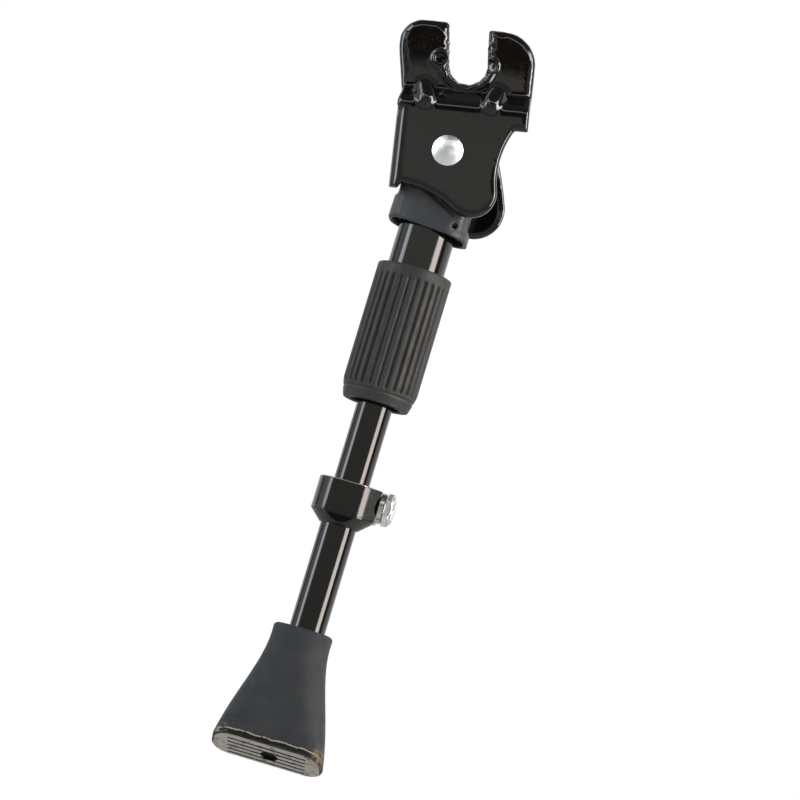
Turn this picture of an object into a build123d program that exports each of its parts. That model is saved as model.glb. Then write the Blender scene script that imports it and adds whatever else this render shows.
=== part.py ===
from build123d import *
from math import atan2, cos, radians, sin, tan
import os

# Bicycle kickstand for a rear wheel axle: a folded sheet bracket, a swinging tube and a telescoping rod.
# It is drawn with the pivot axis along Y through the origin, the leg hanging down and the front facing -Y.
# Each finished piece is then moved so that the axle slot's centre is the origin. Sizes are in millimetres.

# Fits
RUNNING_FIT = 0.06       # radial play of a turning or sliding pair
SLIDING_FIT = 0.09       # radial play of the plastic sliders in the tube
FACE_PLAY = 0.1          # play between the turning flat faces
STOP_GAP = 0.3           # gap left where a moving piece comes to its stop

# Tube and leg head
TUBE_OD = 16.0
TUBE_WALL = 1.5
TUBE_LENGTH = 77.5
HEAD_WALL = 0.8          # head wall in front of and behind the tube
HEAD_SIDE = 2.3          # head wall left and right of the tube
HEAD_CAP = 2.6           # head over the tube's upper end
HEAD_TOP = 10.1          # head top above the pivot
HEAD_CORNER = 5.0        # rounding of the head's upper corners, seen from the front
HEAD_EDGE = 3.5          # rounding of the head's upright edges
SKIRT_TOP = -11.0        # upper end of the skirt, behind the cheeks
SKIRT_SHOULDER = 13.8    # the skirt's shoulder under the fold, below the pivot
SKIRT_CUT = 15.8         # a point on the skirt's slanting upper edge: below and right of the pivot
SKIRT_CUT_SIDE = 5.3
SKIRT_CUT_SLANT = 25.5   # slant of that edge, in degrees
SKIRT_SPREAD = 0.9       # how far the shoulder stands out beyond the head on each side
SKIRT_FLARE = 0.4        # how much further the rim stands out
SKIRT_RIM = -21.3        # level of the skirt's rim on the leg's axis
SKIRT_RIM_SLANT = 4.4    # slant of the rim, in degrees
SKIRT_PLAY = 0.4         # gap between the skirt and the cheeks
SKIRT_EDGE = 7.0         # rounding of the rim's upright edges
SKIRT_WALL = 1.3
SKIRT_HOLLOW = 2.4       # depth of the hollow under the skirt
MARK_DIAMETER = 1.5      # small moulding hole in the skirt
MARK_SIDE = 7.5
MARK_LEVEL = -18.8

# Pivot
RIVET_SHANK = 6.0
RIVET_HEAD = 8.5
RIVET_CROWN = 1.9        # height of the rivet's domed head
RIVET_EDGE = 0.5         # upright edge under the dome
RIVET_FORMED = 9.2       # diameter of the formed head behind
RIVET_FORMED_TOP = 5.6   # diameter of its flat end
RIVET_FORMED_CROWN = 1.0
SLEEVE_OD = 9.0
SLEEVE_FLAT = 0.5        # depth of the detent flats
SLEEVE_FLAT_WIDTH = 12.0
SWING = 100.0            # swing of the leg, in degrees
WASHER_OD = 15.0
WASHER_THICK = 0.9

# Bracket sheet, in the bracket's own upright: the axle slot opens upwards, x is to the right of the pivot
SHEET = 2.5
BRACKET_LEAN = 10.4      # lean of the bracket against the leg, in degrees
FOLD_RADIUS = 1.5        # inner radius of the folds
FOLD_DROP = 10.9         # lower end of the fold below the pivot, in front
REAR_DROP = 6.4          # and behind
FOLD_TOP = 11.5          # upper end of the fold and of the rear cheek above the pivot
SCOOP_INSET = 0.7        # front end of the lower scoop, right of the fold
SCOOP_RISE = 1.0         # and above the fold's lower end
LOBE_SIDE = 7.6
LOBE_LEVEL = -10.7
LOBE_RADIUS = 7.0
REAR_LOBE_SIDE = 7.9
REAR_LOBE_LEVEL = -10.8
REAR_LOBE_RADIUS = 8.6
LOBE_START = 230.0       # lobe arc from the lower scoop to the right scoop, in degrees
LOBE_END = 370.0
STEP_SIDE = 17.6         # step under the hook's right side
STEP_LEVEL = 7.6
REAR_TOP_SIDE = 12.5     # right end of the rear cheek's slanted top
SET_BACK = 5.0           # hook plate behind the front cheek
RAMP_FOOT = 13.4         # bend from the front cheek to the ramp
RAMP_HEAD = 18.2         # bend from the ramp to the hook plate
HOOK_BULGE = 1.6         # left prong beyond the fold
HOOK_RIGHT = 21.2
HOOK_NECK_IN = 0.6       # neck inside the fold
HOOK_NECK_LEVEL = 16.4
HOOK_BASE_LEVEL = 13.4   # upper end of the base over the fold
HOOK_BASE_ROUND = 1.6
HOOK_BULGE_LEVEL = 29.4
HOOK_NECK_ROUND = 3.0
HOOK_BULGE_ROUND = 14.0
PRONG_LEFT_TOP = 37.7
PRONG_RIGHT_TOP = 37.0
PRONG_LEFT_ROUND = 6.5
PRONG_RIGHT_ROUND = 9.5
PRONG_FALL = 1.2         # fall of the right prong's top towards its shoulder
PRONG_LIP_ROUND = 1.2
SLOT_WIDTH = 10.4
SLOT_SIDE = 2.8
SLOT_RISE = 25.8
SLOT_LEFT_LEAN = 6.0     # lean of the slot's walls to the left, in degrees
SLOT_RIGHT_LEAN = 3.5
LIP_WIDTH = 1.9          # raised lip round the slot's lower half, the seat of the wheel nut
LIP_HEIGHT = 0.7
LIP_EDGE = 0.4
LEFT_DIMPLE = (-7.8, 0.9)                # coined dimples, x and z from the slot's centre
RIGHT_DIMPLE = (6.2, 0.0)
DIMPLE_DIAMETER = 3.6
DIMPLE_DEPTH = 0.8
DIMPLE_RIM = 0.55        # radius of the bead round a dimple
BEAD_SEAM = 40.0         # where a bead's ring closes, clear of the slot's edges and of the lip, in degrees
RIB_RADIUS = 2.9
RIB_STAND = 1.5          # upper end of a rib's axis in front of the hook, lower end behind the cheek's front
RIB_HOLLOW = 0.6         # how much smaller the hollow behind a rib is
LEFT_RIB = (-8.5, 17.3, -7.4, 13.8)      # upper x and z, lower x and z
RIGHT_RIB = (11.6, 17.0, 10.6, 13.8)
SHEET_EDGE = 0.7         # rounding of the painted edges

# Rubber grip
GRIP_WALL = 2.5
GRIP_LENGTH = 38.5
GRIP_LIP = 1.3           # lip under the tube's end
GRIP_LIP_COVER = 1.0     # how far the lip covers the tube's wall
GRIP_TAPER = 5.5         # length of the tapered lower end
GRIP_TAPER_IN = 1.2      # radius lost over the taper
GRIP_GROOVES = 28
GRIP_GROOVE_WIDTH = 1.1
GRIP_GROOVE_DEPTH = 0.7
GRIP_TOP_BAND = 3.0
GRIP_LOW_BAND = 4.6

# Works inside the tube
PLUNGER_LENGTH = 9.2
SPIGOT_PLAY = 0.9
SPIGOT_LENGTH = 4.0
WIRE = 1.4
SPRING_PLAY = 0.7
SPRING_TURNS = 8
BUSH_WALL = 1.44
BUSH_LENGTH = 4.5
BUSH_RECESS = 3.0        # bush above the tube's lower end
CAP_LENGTH = 10.0
CAP_SOCKET = 6.0
PIN_DIAMETER = 3.0
PIN_PLAY = 0.3           # gap between the pin and the slot's ends and sides

# Rod, foot and collar
ROD_EDGE = 0.8
FOOT_TOP = -135.8
FOOT_SOCKET = 22.0
FOOT_SHIFT = -0.8        # foot to the left of the rod
FOOT_WALL = 3.45         # rubber round the rod at the foot's top
FOOT_FLAT = 0.25         # half width of the flats on the round top
FOOT_NECK_DROP = 6.0
FOOT_NECK_FLAT = 0.45
FOOT_MID_DROP = 17.2
FOOT_MID_WIDTH = 22.4
FOOT_MID_WALL = 3.0
FOOT_MID_FLAT = 0.4
FOOT_LOW_DROP = 29.2
FOOT_LOW_WIDTH = 29.2
FOOT_LOW_WALL = 2.6
FOOT_END_DROP = 41.0
FOOT_END_WIDTH = 33.4
FOOT_END_WALL = 2.3
FOOT_ROUND = 6.0
SOLE_DROP = 35.6         # sole below the foot's top, on the leg's axis
SOLE_SLANT = 20.0        # slant of the sole, in degrees
SOLE_EDGE = 1.2
SOLE_HOLE = 5.0
SOLE_GROOVES = 5
SOLE_GROOVE_PITCH = 2.5
SOLE_GROOVE_WIDTH = 1.0
SOLE_GROOVE_DEPTH = 1.0
SOLE_GROOVE_LENGTH = 22.0
FOOT_WASHER_RIM = 1.5    # foot washer beyond the rod
FOOT_WASHER_THICK = 1.5
COLLAR_TOP = -94.0
COLLAR_WALL = 3.8
COLLAR_LENGTH = 9.1
COLLAR_CONE = 3.1
COLLAR_CONE_WALL = 0.36
COLLAR_EDGE = 0.4
COLLAR_FLAT = 8.2        # width of the flats in front and behind
BOSS_SEAT = 4.4          # bolt seat beyond the rod
BOSS_WIDTH = 9.6
BOLT_LEVEL = -98.2
BOLT_DIAMETER = 5.0
BOLT_FLATS = 8.0
BOLT_HEAD = 3.3
BOLT_CROWN = 0.5
LOCK_WASHER_OD = 8.6
LOCK_WASHER_THICK = 1.2
LOCK_WASHER_SPLIT = 1.0

# Worked out from the sizes above
LEAN = radians(BRACKET_LEAN)
TUBE_BORE = TUBE_OD - 2 * TUBE_WALL
TUBE_TOP = HEAD_TOP - HEAD_CAP
TUBE_END = TUBE_TOP - TUBE_LENGTH
HEAD_WIDTH = TUBE_OD + 2 * HEAD_SIDE
HEAD_DEPTH = TUBE_OD + 2 * HEAD_WALL
SHOULDER_WIDTH = HEAD_WIDTH + 2 * SKIRT_SPREAD
RIM_WIDTH = SHOULDER_WIDTH + 2 * SKIRT_FLARE
CHEEK_INNER = HEAD_DEPTH / 2 + WASHER_THICK + FACE_PLAY
CHEEK_OUTER = CHEEK_INNER + SHEET
SKIRT_DEPTH = 2 * (CHEEK_INNER - SKIRT_PLAY)
FOLD_INNER = (HEAD_WIDTH / 2 + STOP_GAP + FOLD_DROP * sin(LEAN)) / cos(LEAN)
FOLD_OUTER = FOLD_INNER + SHEET
HOOK_LEFT = FOLD_OUTER + HOOK_BULGE
HOOK_NECK = FOLD_OUTER - HOOK_NECK_IN
HOOK_FRONT = -CHEEK_OUTER + SET_BACK
HOOK_MIDDLE = HOOK_FRONT + SHEET / 2
GRIP_OD = TUBE_OD + 2 * GRIP_WALL
GRIP_END = TUBE_END - GRIP_LIP
GRIP_TOP = GRIP_END + GRIP_LENGTH
PLUNGE = GRIP_END - COLLAR_TOP - STOP_GAP
PLUNGER_TOP = -SLEEVE_OD / 2 - STOP_GAP
PLUNGER_SEAT = PLUNGER_TOP - PLUNGER_LENGTH
BUSH_TOP = TUBE_END + BUSH_RECESS + BUSH_LENGTH
CAP_END = BUSH_TOP + STOP_GAP
CAP_SEAT = CAP_END + CAP_LENGTH
ROD_TOP = CAP_END + CAP_SOCKET
PIN_LEVEL = CAP_END + CAP_SOCKET / 2
ROD_END = FOOT_TOP - FOOT_SOCKET
SOLE_LEVEL = FOOT_TOP - SOLE_DROP
ROD_DIAMETER = TUBE_BORE - 2 * BUSH_WALL - 2 * RUNNING_FIT
SPRING_OD = TUBE_BORE - 2 * SPRING_PLAY
SPIGOT_DIAMETER = SPRING_OD - 2 * WIRE - 2 * SPIGOT_PLAY
FOOT_TOP_WIDTH = ROD_DIAMETER + 2 * FOOT_WALL
FOOT_MID_DEPTH = ROD_DIAMETER + 2 * FOOT_MID_WALL
FOOT_LOW_DEPTH = ROD_DIAMETER + 2 * FOOT_LOW_WALL
FOOT_END_DEPTH = ROD_DIAMETER + 2 * FOOT_END_WALL
FOOT_WASHER_OD = ROD_DIAMETER + 2 * FOOT_WASHER_RIM
COLLAR_BORE = ROD_DIAMETER + 2 * RUNNING_FIT
COLLAR_OD = ROD_DIAMETER + 2 * COLLAR_WALL
COLLAR_CONE_END = COLLAR_BORE + 2 * COLLAR_CONE_WALL
BOSS_REACH = ROD_DIAMETER / 2 + BOSS_SEAT
SLIDER_RADIUS = TUBE_BORE / 2 - SLIDING_FIT


def turned(*profile):
    """Solid of revolution about Z from (radius, height) corners."""
    return revolve(make_face(Plane.XZ * Polyline(*profile, close=True)), Axis.Z)


def rod_between(radius, low, high):
    """Plain cylinder on Z from one level to another."""
    return Pos(0, 0, low) * Cylinder(radius, high - low, align=(Align.CENTER, Align.CENTER, Align.MIN))


def across(solid):
    """Turn a solid on Z so that its +Z end points to the front, -Y."""
    return Rot(90, 0, 0) * solid


def front_slab(face, near, far):
    """Plate from a front outline between two levels of Y."""
    return Pos(0, far, 0) * extrude(Plane.XZ * face, far - near, dir=(0, -1, 0))


def rounded(face, *corners):
    """Face with some of its corners rounded; each corner is a point near it and a radius."""
    for point, radius in corners:
        face = fillet(face.vertices().sort_by_distance(point)[0], radius)
    return face


def cheek_face(drop, lobe_x, lobe_z, lobe_radius, top_points):
    """Cheek outline: fold on the left, scooped lower edge, round lobe, scooped right edge, then the top."""
    start = radians(LOBE_START)
    end = radians(LOBE_END)
    lobe_in = (lobe_x + lobe_radius * cos(start), lobe_z + lobe_radius * sin(start))
    lobe_low = (lobe_x, lobe_z - lobe_radius)
    lobe_out = (lobe_x + lobe_radius * cos(end), lobe_z + lobe_radius * sin(end))
    fold_end = (-FOLD_INNER, -drop)
    scoop_in = (-FOLD_INNER + SCOOP_INSET, SCOOP_RISE - drop)
    outside = -FOLD_OUTER - SHEET
    edges = TangentArc(lobe_in, scoop_in, tangent=(sin(start), -cos(start)))
    edges += ThreePointArc(lobe_in, lobe_low, lobe_out)
    edges += TangentArc(lobe_out, top_points[0], tangent=(-sin(end), cos(end)))
    edges += Polyline(*top_points, (outside, top_points[-1][1]), (outside, -drop), fold_end, scoop_in)
    return make_face(edges)


def rib(upper, lower, radius):
    """Round-ended rib between two points."""
    run = Vector(*lower) - Vector(*upper)
    plane = Plane(origin=upper, z_dir=run)
    bar = Cylinder(radius, run.length, align=(Align.CENTER, Align.CENTER, Align.MIN))
    return plane * (bar + Sphere(radius) + Pos(0, 0, run.length) * Sphere(radius))


def bent(points, radii):
    """Line through the points with a tangent arc at each inner one."""
    nodes = [Vector(*point) for point in points]
    path = []
    last = nodes[0]
    for before, node, after, radius in zip(nodes, nodes[1:], nodes[2:], radii):
        way_in = (node - before).normalized()
        way_out = (after - node).normalized()
        trim = radius * tan(radians(way_in.get_angle(way_out)) / 2)
        path.append(Line(last, node - way_in * trim))
        last = node + way_out * trim
        path.append(TangentArc(node - way_in * trim, last, tangent=way_in))
    return path + [Line(last, nodes[-1])]


def fold_block(left, half_depth, corner, low, high):
    """Upright block with two round corners on its left: the outside or the inside of the folded channel."""
    reach = 2 * HOOK_RIGHT
    path = bent([(reach, -half_depth), (-left, -half_depth), (-left, half_depth), (reach, half_depth)],
                [corner, corner])
    face = make_face(path + [Line((reach, half_depth), (reach, -half_depth))])
    return Pos(0, 0, low) * extrude(face, high - low, dir=(0, 0, 1))


def bend_profiles():
    """Front and back lines of the sheet with the set-back bend, in the plane of Y and Z."""
    high = 2 * PRONG_LEFT_TOP
    slope = atan2(SET_BACK, RAMP_HEAD - RAMP_FOOT)
    shift = SHEET * tan(slope / 2)
    front = [(-CHEEK_OUTER, FOLD_TOP), (-CHEEK_OUTER, RAMP_FOOT), (HOOK_FRONT, RAMP_HEAD), (HOOK_FRONT, high)]
    back = [(-CHEEK_INNER, FOLD_TOP), (-CHEEK_INNER, RAMP_FOOT - shift),
            (HOOK_FRONT + SHEET, RAMP_HEAD - shift), (HOOK_FRONT + SHEET, high)]
    return front, back


def make_strip():
    """Sheet with the set-back bend, before it is cut to the outline of the hook."""
    front, back = bend_profiles()
    path = bent(front, [FOLD_RADIUS + SHEET, FOLD_RADIUS]) + bent(back, [FOLD_RADIUS, FOLD_RADIUS + SHEET])
    face = make_face(path + [Line(front[0], back[0]), Line(front[-1], back[-1])])
    return extrude(Plane.YZ * face, 2 * HOOK_RIGHT, both=True)


def behind_sheet():
    """Space behind the middle of the bent sheet, which the ribs must not fill."""
    middle = [(y + SHEET / 2, z) for y, z in bend_profiles()[0]]
    far = CHEEK_OUTER
    low = -FOLD_TOP
    corners = [(middle[0][0], low)] + middle[1:] + [(far, middle[-1][1]), (far, low)]
    return extrude(Plane.YZ * make_face(Polyline(*corners, close=True)), 2 * HOOK_RIGHT, both=True)


def slot_walls():
    """Lower ends and directions of the slot's left and right wall, which are tangent to its round end."""
    radius = SLOT_WIDTH / 2
    middle = Vector(SLOT_SIDE, SLOT_RISE)
    left_way = Vector(-sin(radians(SLOT_LEFT_LEAN)), cos(radians(SLOT_LEFT_LEAN)))
    right_way = Vector(-sin(radians(SLOT_RIGHT_LEAN)), cos(radians(SLOT_RIGHT_LEAN)))
    left_low = middle + Vector(-left_way.Y, left_way.X) * radius
    right_low = middle + Vector(right_way.Y, -right_way.X) * radius
    return left_low, left_way, right_low, right_way


def slot_face():
    """Open axle slot: a round end and two leaning walls that run out over the prongs."""
    left_low, left_way, right_low, right_way = slot_walls()
    mouth = Polyline(left_low, left_low + left_way * PRONG_LEFT_TOP, right_low + right_way * PRONG_LEFT_TOP,
                     right_low, close=True)
    return make_face(mouth) + Pos(SLOT_SIDE, SLOT_RISE) * Circle(SLOT_WIDTH / 2)


def hook_face():
    """Outline of the hook: base over the fold, neck, two prongs and the open slot."""
    left_low, left_way, right_low, right_way = slot_walls()
    left_lip = left_low + left_way * (PRONG_LEFT_TOP - left_low.Y)
    right_lip = right_low + right_way * (PRONG_RIGHT_TOP - right_low.Y)
    base = (-FOLD_OUTER, HOOK_BASE_LEVEL)
    neck = (-HOOK_NECK, HOOK_NECK_LEVEL)
    bulge = (-HOOK_LEFT, HOOK_BULGE_LEVEL)
    left_shoulder = (-HOOK_LEFT, PRONG_LEFT_TOP)
    right_shoulder = (HOOK_RIGHT, PRONG_RIGHT_TOP - PRONG_FALL)
    outline = Polyline((-FOLD_OUTER, FOLD_TOP), base, neck, bulge, left_shoulder, (SLOT_SIDE, PRONG_LEFT_TOP),
                       (SLOT_SIDE, PRONG_RIGHT_TOP), right_shoulder, (HOOK_RIGHT, FOLD_TOP), close=True)
    face = make_face(outline) - slot_face()
    return rounded(face, (base, HOOK_BASE_ROUND), (neck, HOOK_NECK_ROUND), (bulge, HOOK_BULGE_ROUND),
                   (left_shoulder, PRONG_LEFT_ROUND), (right_shoulder, PRONG_RIGHT_ROUND),
                   (left_lip, PRONG_LIP_ROUND), (right_lip, PRONG_LIP_ROUND))


def web_cut(split):
    """What is cut from the fold's lower end, so that it slants up from the front cheek to the rear one."""
    low = -2 * FOLD_DROP
    outline = Polyline((-split, low), (-split, -FOLD_DROP), (split, -REAR_DROP), (split, low), close=True)
    return extrude(Plane.YZ * make_face(outline), 2 * FOLD_OUTER, both=True)


def make_sheet():
    """Folded sheet: two cheeks cut from a channel, with the bent hook plate on the front one."""
    low = REAR_LOBE_LEVEL - 2 * REAR_LOBE_RADIUS
    channel = fold_block(FOLD_OUTER, CHEEK_OUTER, FOLD_RADIUS + SHEET, low, FOLD_TOP)
    channel -= fold_block(FOLD_INNER, CHEEK_INNER, FOLD_RADIUS, low, FOLD_TOP)
    front = cheek_face(FOLD_DROP, LOBE_SIDE, LOBE_LEVEL, LOBE_RADIUS,
                       [(STEP_SIDE, STEP_LEVEL), (HOOK_RIGHT, STEP_LEVEL), (HOOK_RIGHT, FOLD_TOP)])
    rear = cheek_face(REAR_DROP, REAR_LOBE_SIDE, REAR_LOBE_LEVEL, REAR_LOBE_RADIUS,
                      [(REAR_TOP_SIDE, FOLD_TOP / 2), (REAR_TOP_SIDE / 2, FOLD_TOP)])
    reach = 2 * CHEEK_OUTER
    split = CHEEK_INNER - FOLD_RADIUS
    channel &= front_slab(front, -reach, split) + front_slab(rear, split, reach)
    channel -= web_cut(split)
    return channel + (make_strip() & front_slab(hook_face(), -reach, reach))


def soften(sheet):
    """Round the painted outer edges; a rounding runs on along all edges that are tangent to its first one."""
    first_points = [(SLOT_SIDE, HOOK_FRONT, SLOT_RISE - SLOT_WIDTH / 2),
                    (LOBE_SIDE, -CHEEK_OUTER, LOBE_LEVEL - LOBE_RADIUS),
                    ((STEP_SIDE + HOOK_RIGHT) / 2, -CHEEK_OUTER, STEP_LEVEL),
                    (REAR_LOBE_SIDE, CHEEK_OUTER, REAR_LOBE_LEVEL - REAR_LOBE_RADIUS)]
    return fillet([sheet.edges().sort_by_distance(point)[0] for point in first_points], SHEET_EDGE)


def make_lip():
    """Raised half ring under the slot's round end, with a flat top and rounded edges."""
    inner = SLOT_WIDTH / 2 + SHEET_EDGE
    ring = Cylinder(inner + LIP_WIDTH, 2 * LIP_HEIGHT) - Cylinder(inner, 2 * LIP_HEIGHT)
    ring = fillet(ring.edges().filter_by(GeomType.CIRCLE).group_by(Axis.Z)[-1], LIP_EDGE)
    half = Pos(0, 0, -SLOT_WIDTH) * Box(4 * SLOT_WIDTH, 4 * SLOT_WIDTH, 2 * SLOT_WIDTH)
    return across(ring) & half


def make_bracket():
    """Pressed bracket: folded sheet with the lip, dimples, ribs and rivet holes."""
    slot_point = (SLOT_SIDE, HOOK_FRONT, SLOT_RISE)
    sheet = soften(make_sheet())
    sheet += Pos(*slot_point) * make_lip()
    for upper_x, upper_z, lower_x, lower_z in (LEFT_RIB, RIGHT_RIB):
        upper = (upper_x, HOOK_FRONT - RIB_STAND, upper_z)
        lower = (lower_x, RIB_STAND - CHEEK_OUTER, lower_z)
        sheet += rib(upper, lower, RIB_RADIUS) - behind_sheet()
        sheet -= Pos(0, SHEET, 0) * rib(upper, lower, RIB_RADIUS - RIB_HOLLOW)
    slot = front_slab(slot_face(), -CHEEK_OUTER, CHEEK_OUTER)
    for side, rise in (LEFT_DIMPLE, RIGHT_DIMPLE):
        middle = Pos(*slot_point) * Pos(side, 0, rise)
        bead = middle * across(Rot(0, 0, BEAD_SEAM) * Torus((DIMPLE_DIAMETER + DIMPLE_RIM) / 2, DIMPLE_RIM))
        sheet += bead - slot
        sheet -= middle * across(Cylinder(DIMPLE_DIAMETER / 2, 2 * DIMPLE_DEPTH))
    sheet -= across(Cylinder(RIVET_SHANK / 2, 3 * CHEEK_OUTER))
    return Rot(0, -BRACKET_LEAN, 0) * sheet


def make_rivet():
    """Rivet with a domed head in front and a flatter formed head behind."""
    shank = RIVET_SHANK / 2
    dome_edge = (RIVET_HEAD / 2, CHEEK_OUTER + RIVET_EDGE)
    dome_top = (0, CHEEK_OUTER + RIVET_CROWN)
    low = -CHEEK_OUTER - RIVET_FORMED_CROWN
    outline = Polyline(dome_top, (0, low), (RIVET_FORMED_TOP / 2, low), (RIVET_FORMED / 2, -CHEEK_OUTER),
                       (shank, -CHEEK_OUTER), (shank, CHEEK_OUTER), (RIVET_HEAD / 2, CHEEK_OUTER), dome_edge)
    outline += TangentArc(dome_top, dome_edge, tangent=(1, 0))
    return across(revolve(Plane.XZ * make_face(outline), Axis.Z))


def make_sleeve():
    """Spacer sleeve between the cheeks, with one flat for the lowered leg and one for the raised leg."""
    sleeve = across(Cylinder(SLEEVE_OD / 2, 2 * CHEEK_INNER) - Cylinder(RIVET_SHANK / 2, 2 * CHEEK_INNER))
    for angle in (0, SWING):
        flat = Pos(0, 0, -SLEEVE_OD + SLEEVE_FLAT) * Box(2 * SLEEVE_OD, SLEEVE_FLAT_WIDTH, SLEEVE_OD)
        sleeve -= Rot(0, -angle, 0) * flat
    return sleeve


def make_friction_washer(side):
    """Friction washer against one cheek: side is -1 in front and 1 behind."""
    ring = Cylinder(WASHER_OD / 2, WASHER_THICK) - Cylinder(SLEEVE_OD / 2, WASHER_THICK)
    return Pos(0, side * (CHEEK_INNER - WASHER_THICK / 2), 0) * across(ring)


def skirt_outline():
    """Skirt seen from the front: shoulder under the fold, slanting upper edge on the right, slanting rim."""
    reach = RIM_WIDTH
    slope = tan(radians(SKIRT_CUT_SLANT))
    fall = reach * tan(radians(SKIRT_RIM_SLANT))
    cut_start = SKIRT_CUT_SIDE - (SKIRT_TOP + SKIRT_CUT) / slope
    cut_end = -SKIRT_CUT - (reach - SKIRT_CUT_SIDE) * slope
    return make_face(Polyline((-reach, SKIRT_RIM + fall), (reach, SKIRT_RIM - fall), (reach, cut_end),
                              (cut_start, SKIRT_TOP), (-HEAD_WIDTH / 2, SKIRT_TOP),
                              (-HEAD_WIDTH / 2, -SKIRT_SHOULDER), (-reach, -SKIRT_SHOULDER), close=True))


def make_head():
    """Moulded head: rounded block over the tube's end, with an oval hollow skirt below the cheeks."""
    block_face = RectangleRounded(HEAD_WIDTH, HEAD_DEPTH, HEAD_EDGE)
    block = Pos(0, 0, SKIRT_RIM + SKIRT_HOLLOW / 2) * extrude(block_face, HEAD_TOP - SKIRT_RIM)
    low = -2 * SKIRT_SHOULDER
    crown = FilletPolyline((-HEAD_WIDTH / 2, low), (-HEAD_WIDTH / 2, HEAD_TOP), (HEAD_WIDTH / 2, HEAD_TOP),
                           (HEAD_WIDTH / 2, low), radius=HEAD_CORNER)
    crown_face = make_face(crown + Line((HEAD_WIDTH / 2, low), (-HEAD_WIDTH / 2, low)))
    block &= front_slab(crown_face, -HEAD_DEPTH, HEAD_DEPTH)
    rim_face = RectangleRounded(RIM_WIDTH, SKIRT_DEPTH, SKIRT_EDGE)
    shoulder_face = RectangleRounded(SHOULDER_WIDTH, SKIRT_DEPTH, SKIRT_EDGE)
    skirt = loft([Pos(0, 0, low) * rim_face, Pos(0, 0, SKIRT_TOP) * shoulder_face])
    skirt &= front_slab(skirt_outline(), -SKIRT_DEPTH, SKIRT_DEPTH)
    hollow_face = offset(rim_face, -SKIRT_WALL)
    hollow = Rot(0, SKIRT_RIM_SLANT, 0) * extrude(hollow_face, SKIRT_HOLLOW, both=True)
    head = block + skirt - Pos(0, 0, SKIRT_RIM) * hollow
    head -= rod_between(TUBE_OD / 2, low, TUBE_TOP)
    head -= across(Cylinder(SLEEVE_OD / 2 + RUNNING_FIT, 2 * HEAD_DEPTH))
    mark = across(Cylinder(MARK_DIAMETER / 2, HEAD_DEPTH, align=(Align.CENTER, Align.CENTER, Align.MIN)))
    return head - Pos(MARK_SIDE, 0, MARK_LEVEL) * mark


def make_tube():
    """Leg tube with a cross bore for the sleeve and two guide slots under the grip."""
    tube = rod_between(TUBE_OD / 2, TUBE_END, TUBE_TOP) - rod_between(TUBE_BORE / 2, TUBE_END, TUBE_TOP)
    tube -= across(Cylinder(SLEEVE_OD / 2 + RUNNING_FIT, 2 * TUBE_OD))
    slot_width = PIN_DIAMETER + 2 * PIN_PLAY
    slot = SlotCenterToCenter(PLUNGE, slot_width, rotation=90)
    return tube - Pos(0, 0, PIN_LEVEL + PLUNGE / 2) * extrude(Plane.YZ * slot, TUBE_OD, both=True)


def make_grip():
    """Rubber grip with straight grooves, plain bands at both ends and a lip under the tube."""
    radius = GRIP_OD / 2
    lip_bore = TUBE_OD / 2 - GRIP_LIP_COVER
    grip = turned((TUBE_OD / 2, GRIP_TOP), (radius, GRIP_TOP), (radius, GRIP_END + GRIP_TAPER),
                  (radius - GRIP_TAPER_IN, GRIP_END), (lip_bore, GRIP_END), (lip_bore, TUBE_END),
                  (TUBE_OD / 2, TUBE_END))
    run = GRIP_LENGTH - GRIP_TOP_BAND - GRIP_LOW_BAND
    groove = Box(2 * GRIP_GROOVE_DEPTH, GRIP_GROOVE_WIDTH, run)
    groove = Pos(radius, 0, GRIP_END + GRIP_LOW_BAND + run / 2) * groove
    return grip - [Rot(0, 0, 360 * (i + 0.5) / GRIP_GROOVES) * groove for i in range(GRIP_GROOVES)]


def make_bush():
    """Guide bush in the tube's lower end."""
    bore = ROD_DIAMETER / 2 + RUNNING_FIT
    low = BUSH_TOP - BUSH_LENGTH
    return rod_between(TUBE_BORE / 2, low, BUSH_TOP) - rod_between(bore, low, BUSH_TOP)


def make_plunger():
    """Detent plunger with a spigot for the spring."""
    spigot = SPIGOT_DIAMETER / 2
    tip = PLUNGER_SEAT - SPIGOT_LENGTH
    return turned((0, PLUNGER_TOP), (SLIDER_RADIUS, PLUNGER_TOP), (SLIDER_RADIUS, PLUNGER_SEAT),
                  (spigot, PLUNGER_SEAT), (spigot, tip), (0, tip))


def make_spring():
    """Compression spring between the plunger and the rod's cap."""
    radius = (SPRING_OD - WIRE) / 2
    height = PLUNGER_SEAT - CAP_SEAT - WIRE
    path = Helix(height / SPRING_TURNS, height, radius)
    section = Plane(origin=path @ 0, z_dir=path % 0) * Circle(WIRE / 2)
    return Pos(0, 0, CAP_SEAT + WIRE / 2) * sweep(section, path=path)


def make_cap():
    """Slider on the rod's upper end, the spring's lower seat."""
    rod = ROD_DIAMETER / 2
    spigot = SPIGOT_DIAMETER / 2
    top = CAP_SEAT + SPIGOT_LENGTH
    cap = turned((rod, CAP_END), (SLIDER_RADIUS, CAP_END), (SLIDER_RADIUS, CAP_SEAT), (spigot, CAP_SEAT),
                 (spigot, top), (0, top), (0, ROD_TOP), (rod, ROD_TOP))
    return cap - Pos(0, 0, PIN_LEVEL) * Rot(0, 90, 0) * Cylinder(PIN_DIAMETER / 2, TUBE_OD)


def make_pin():
    """Cross pin through the cap and the rod, riding in the tube's slots."""
    return Pos(0, 0, PIN_LEVEL) * Rot(0, 90, 0) * Cylinder(PIN_DIAMETER / 2, TUBE_OD - 2 * STOP_GAP)


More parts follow.
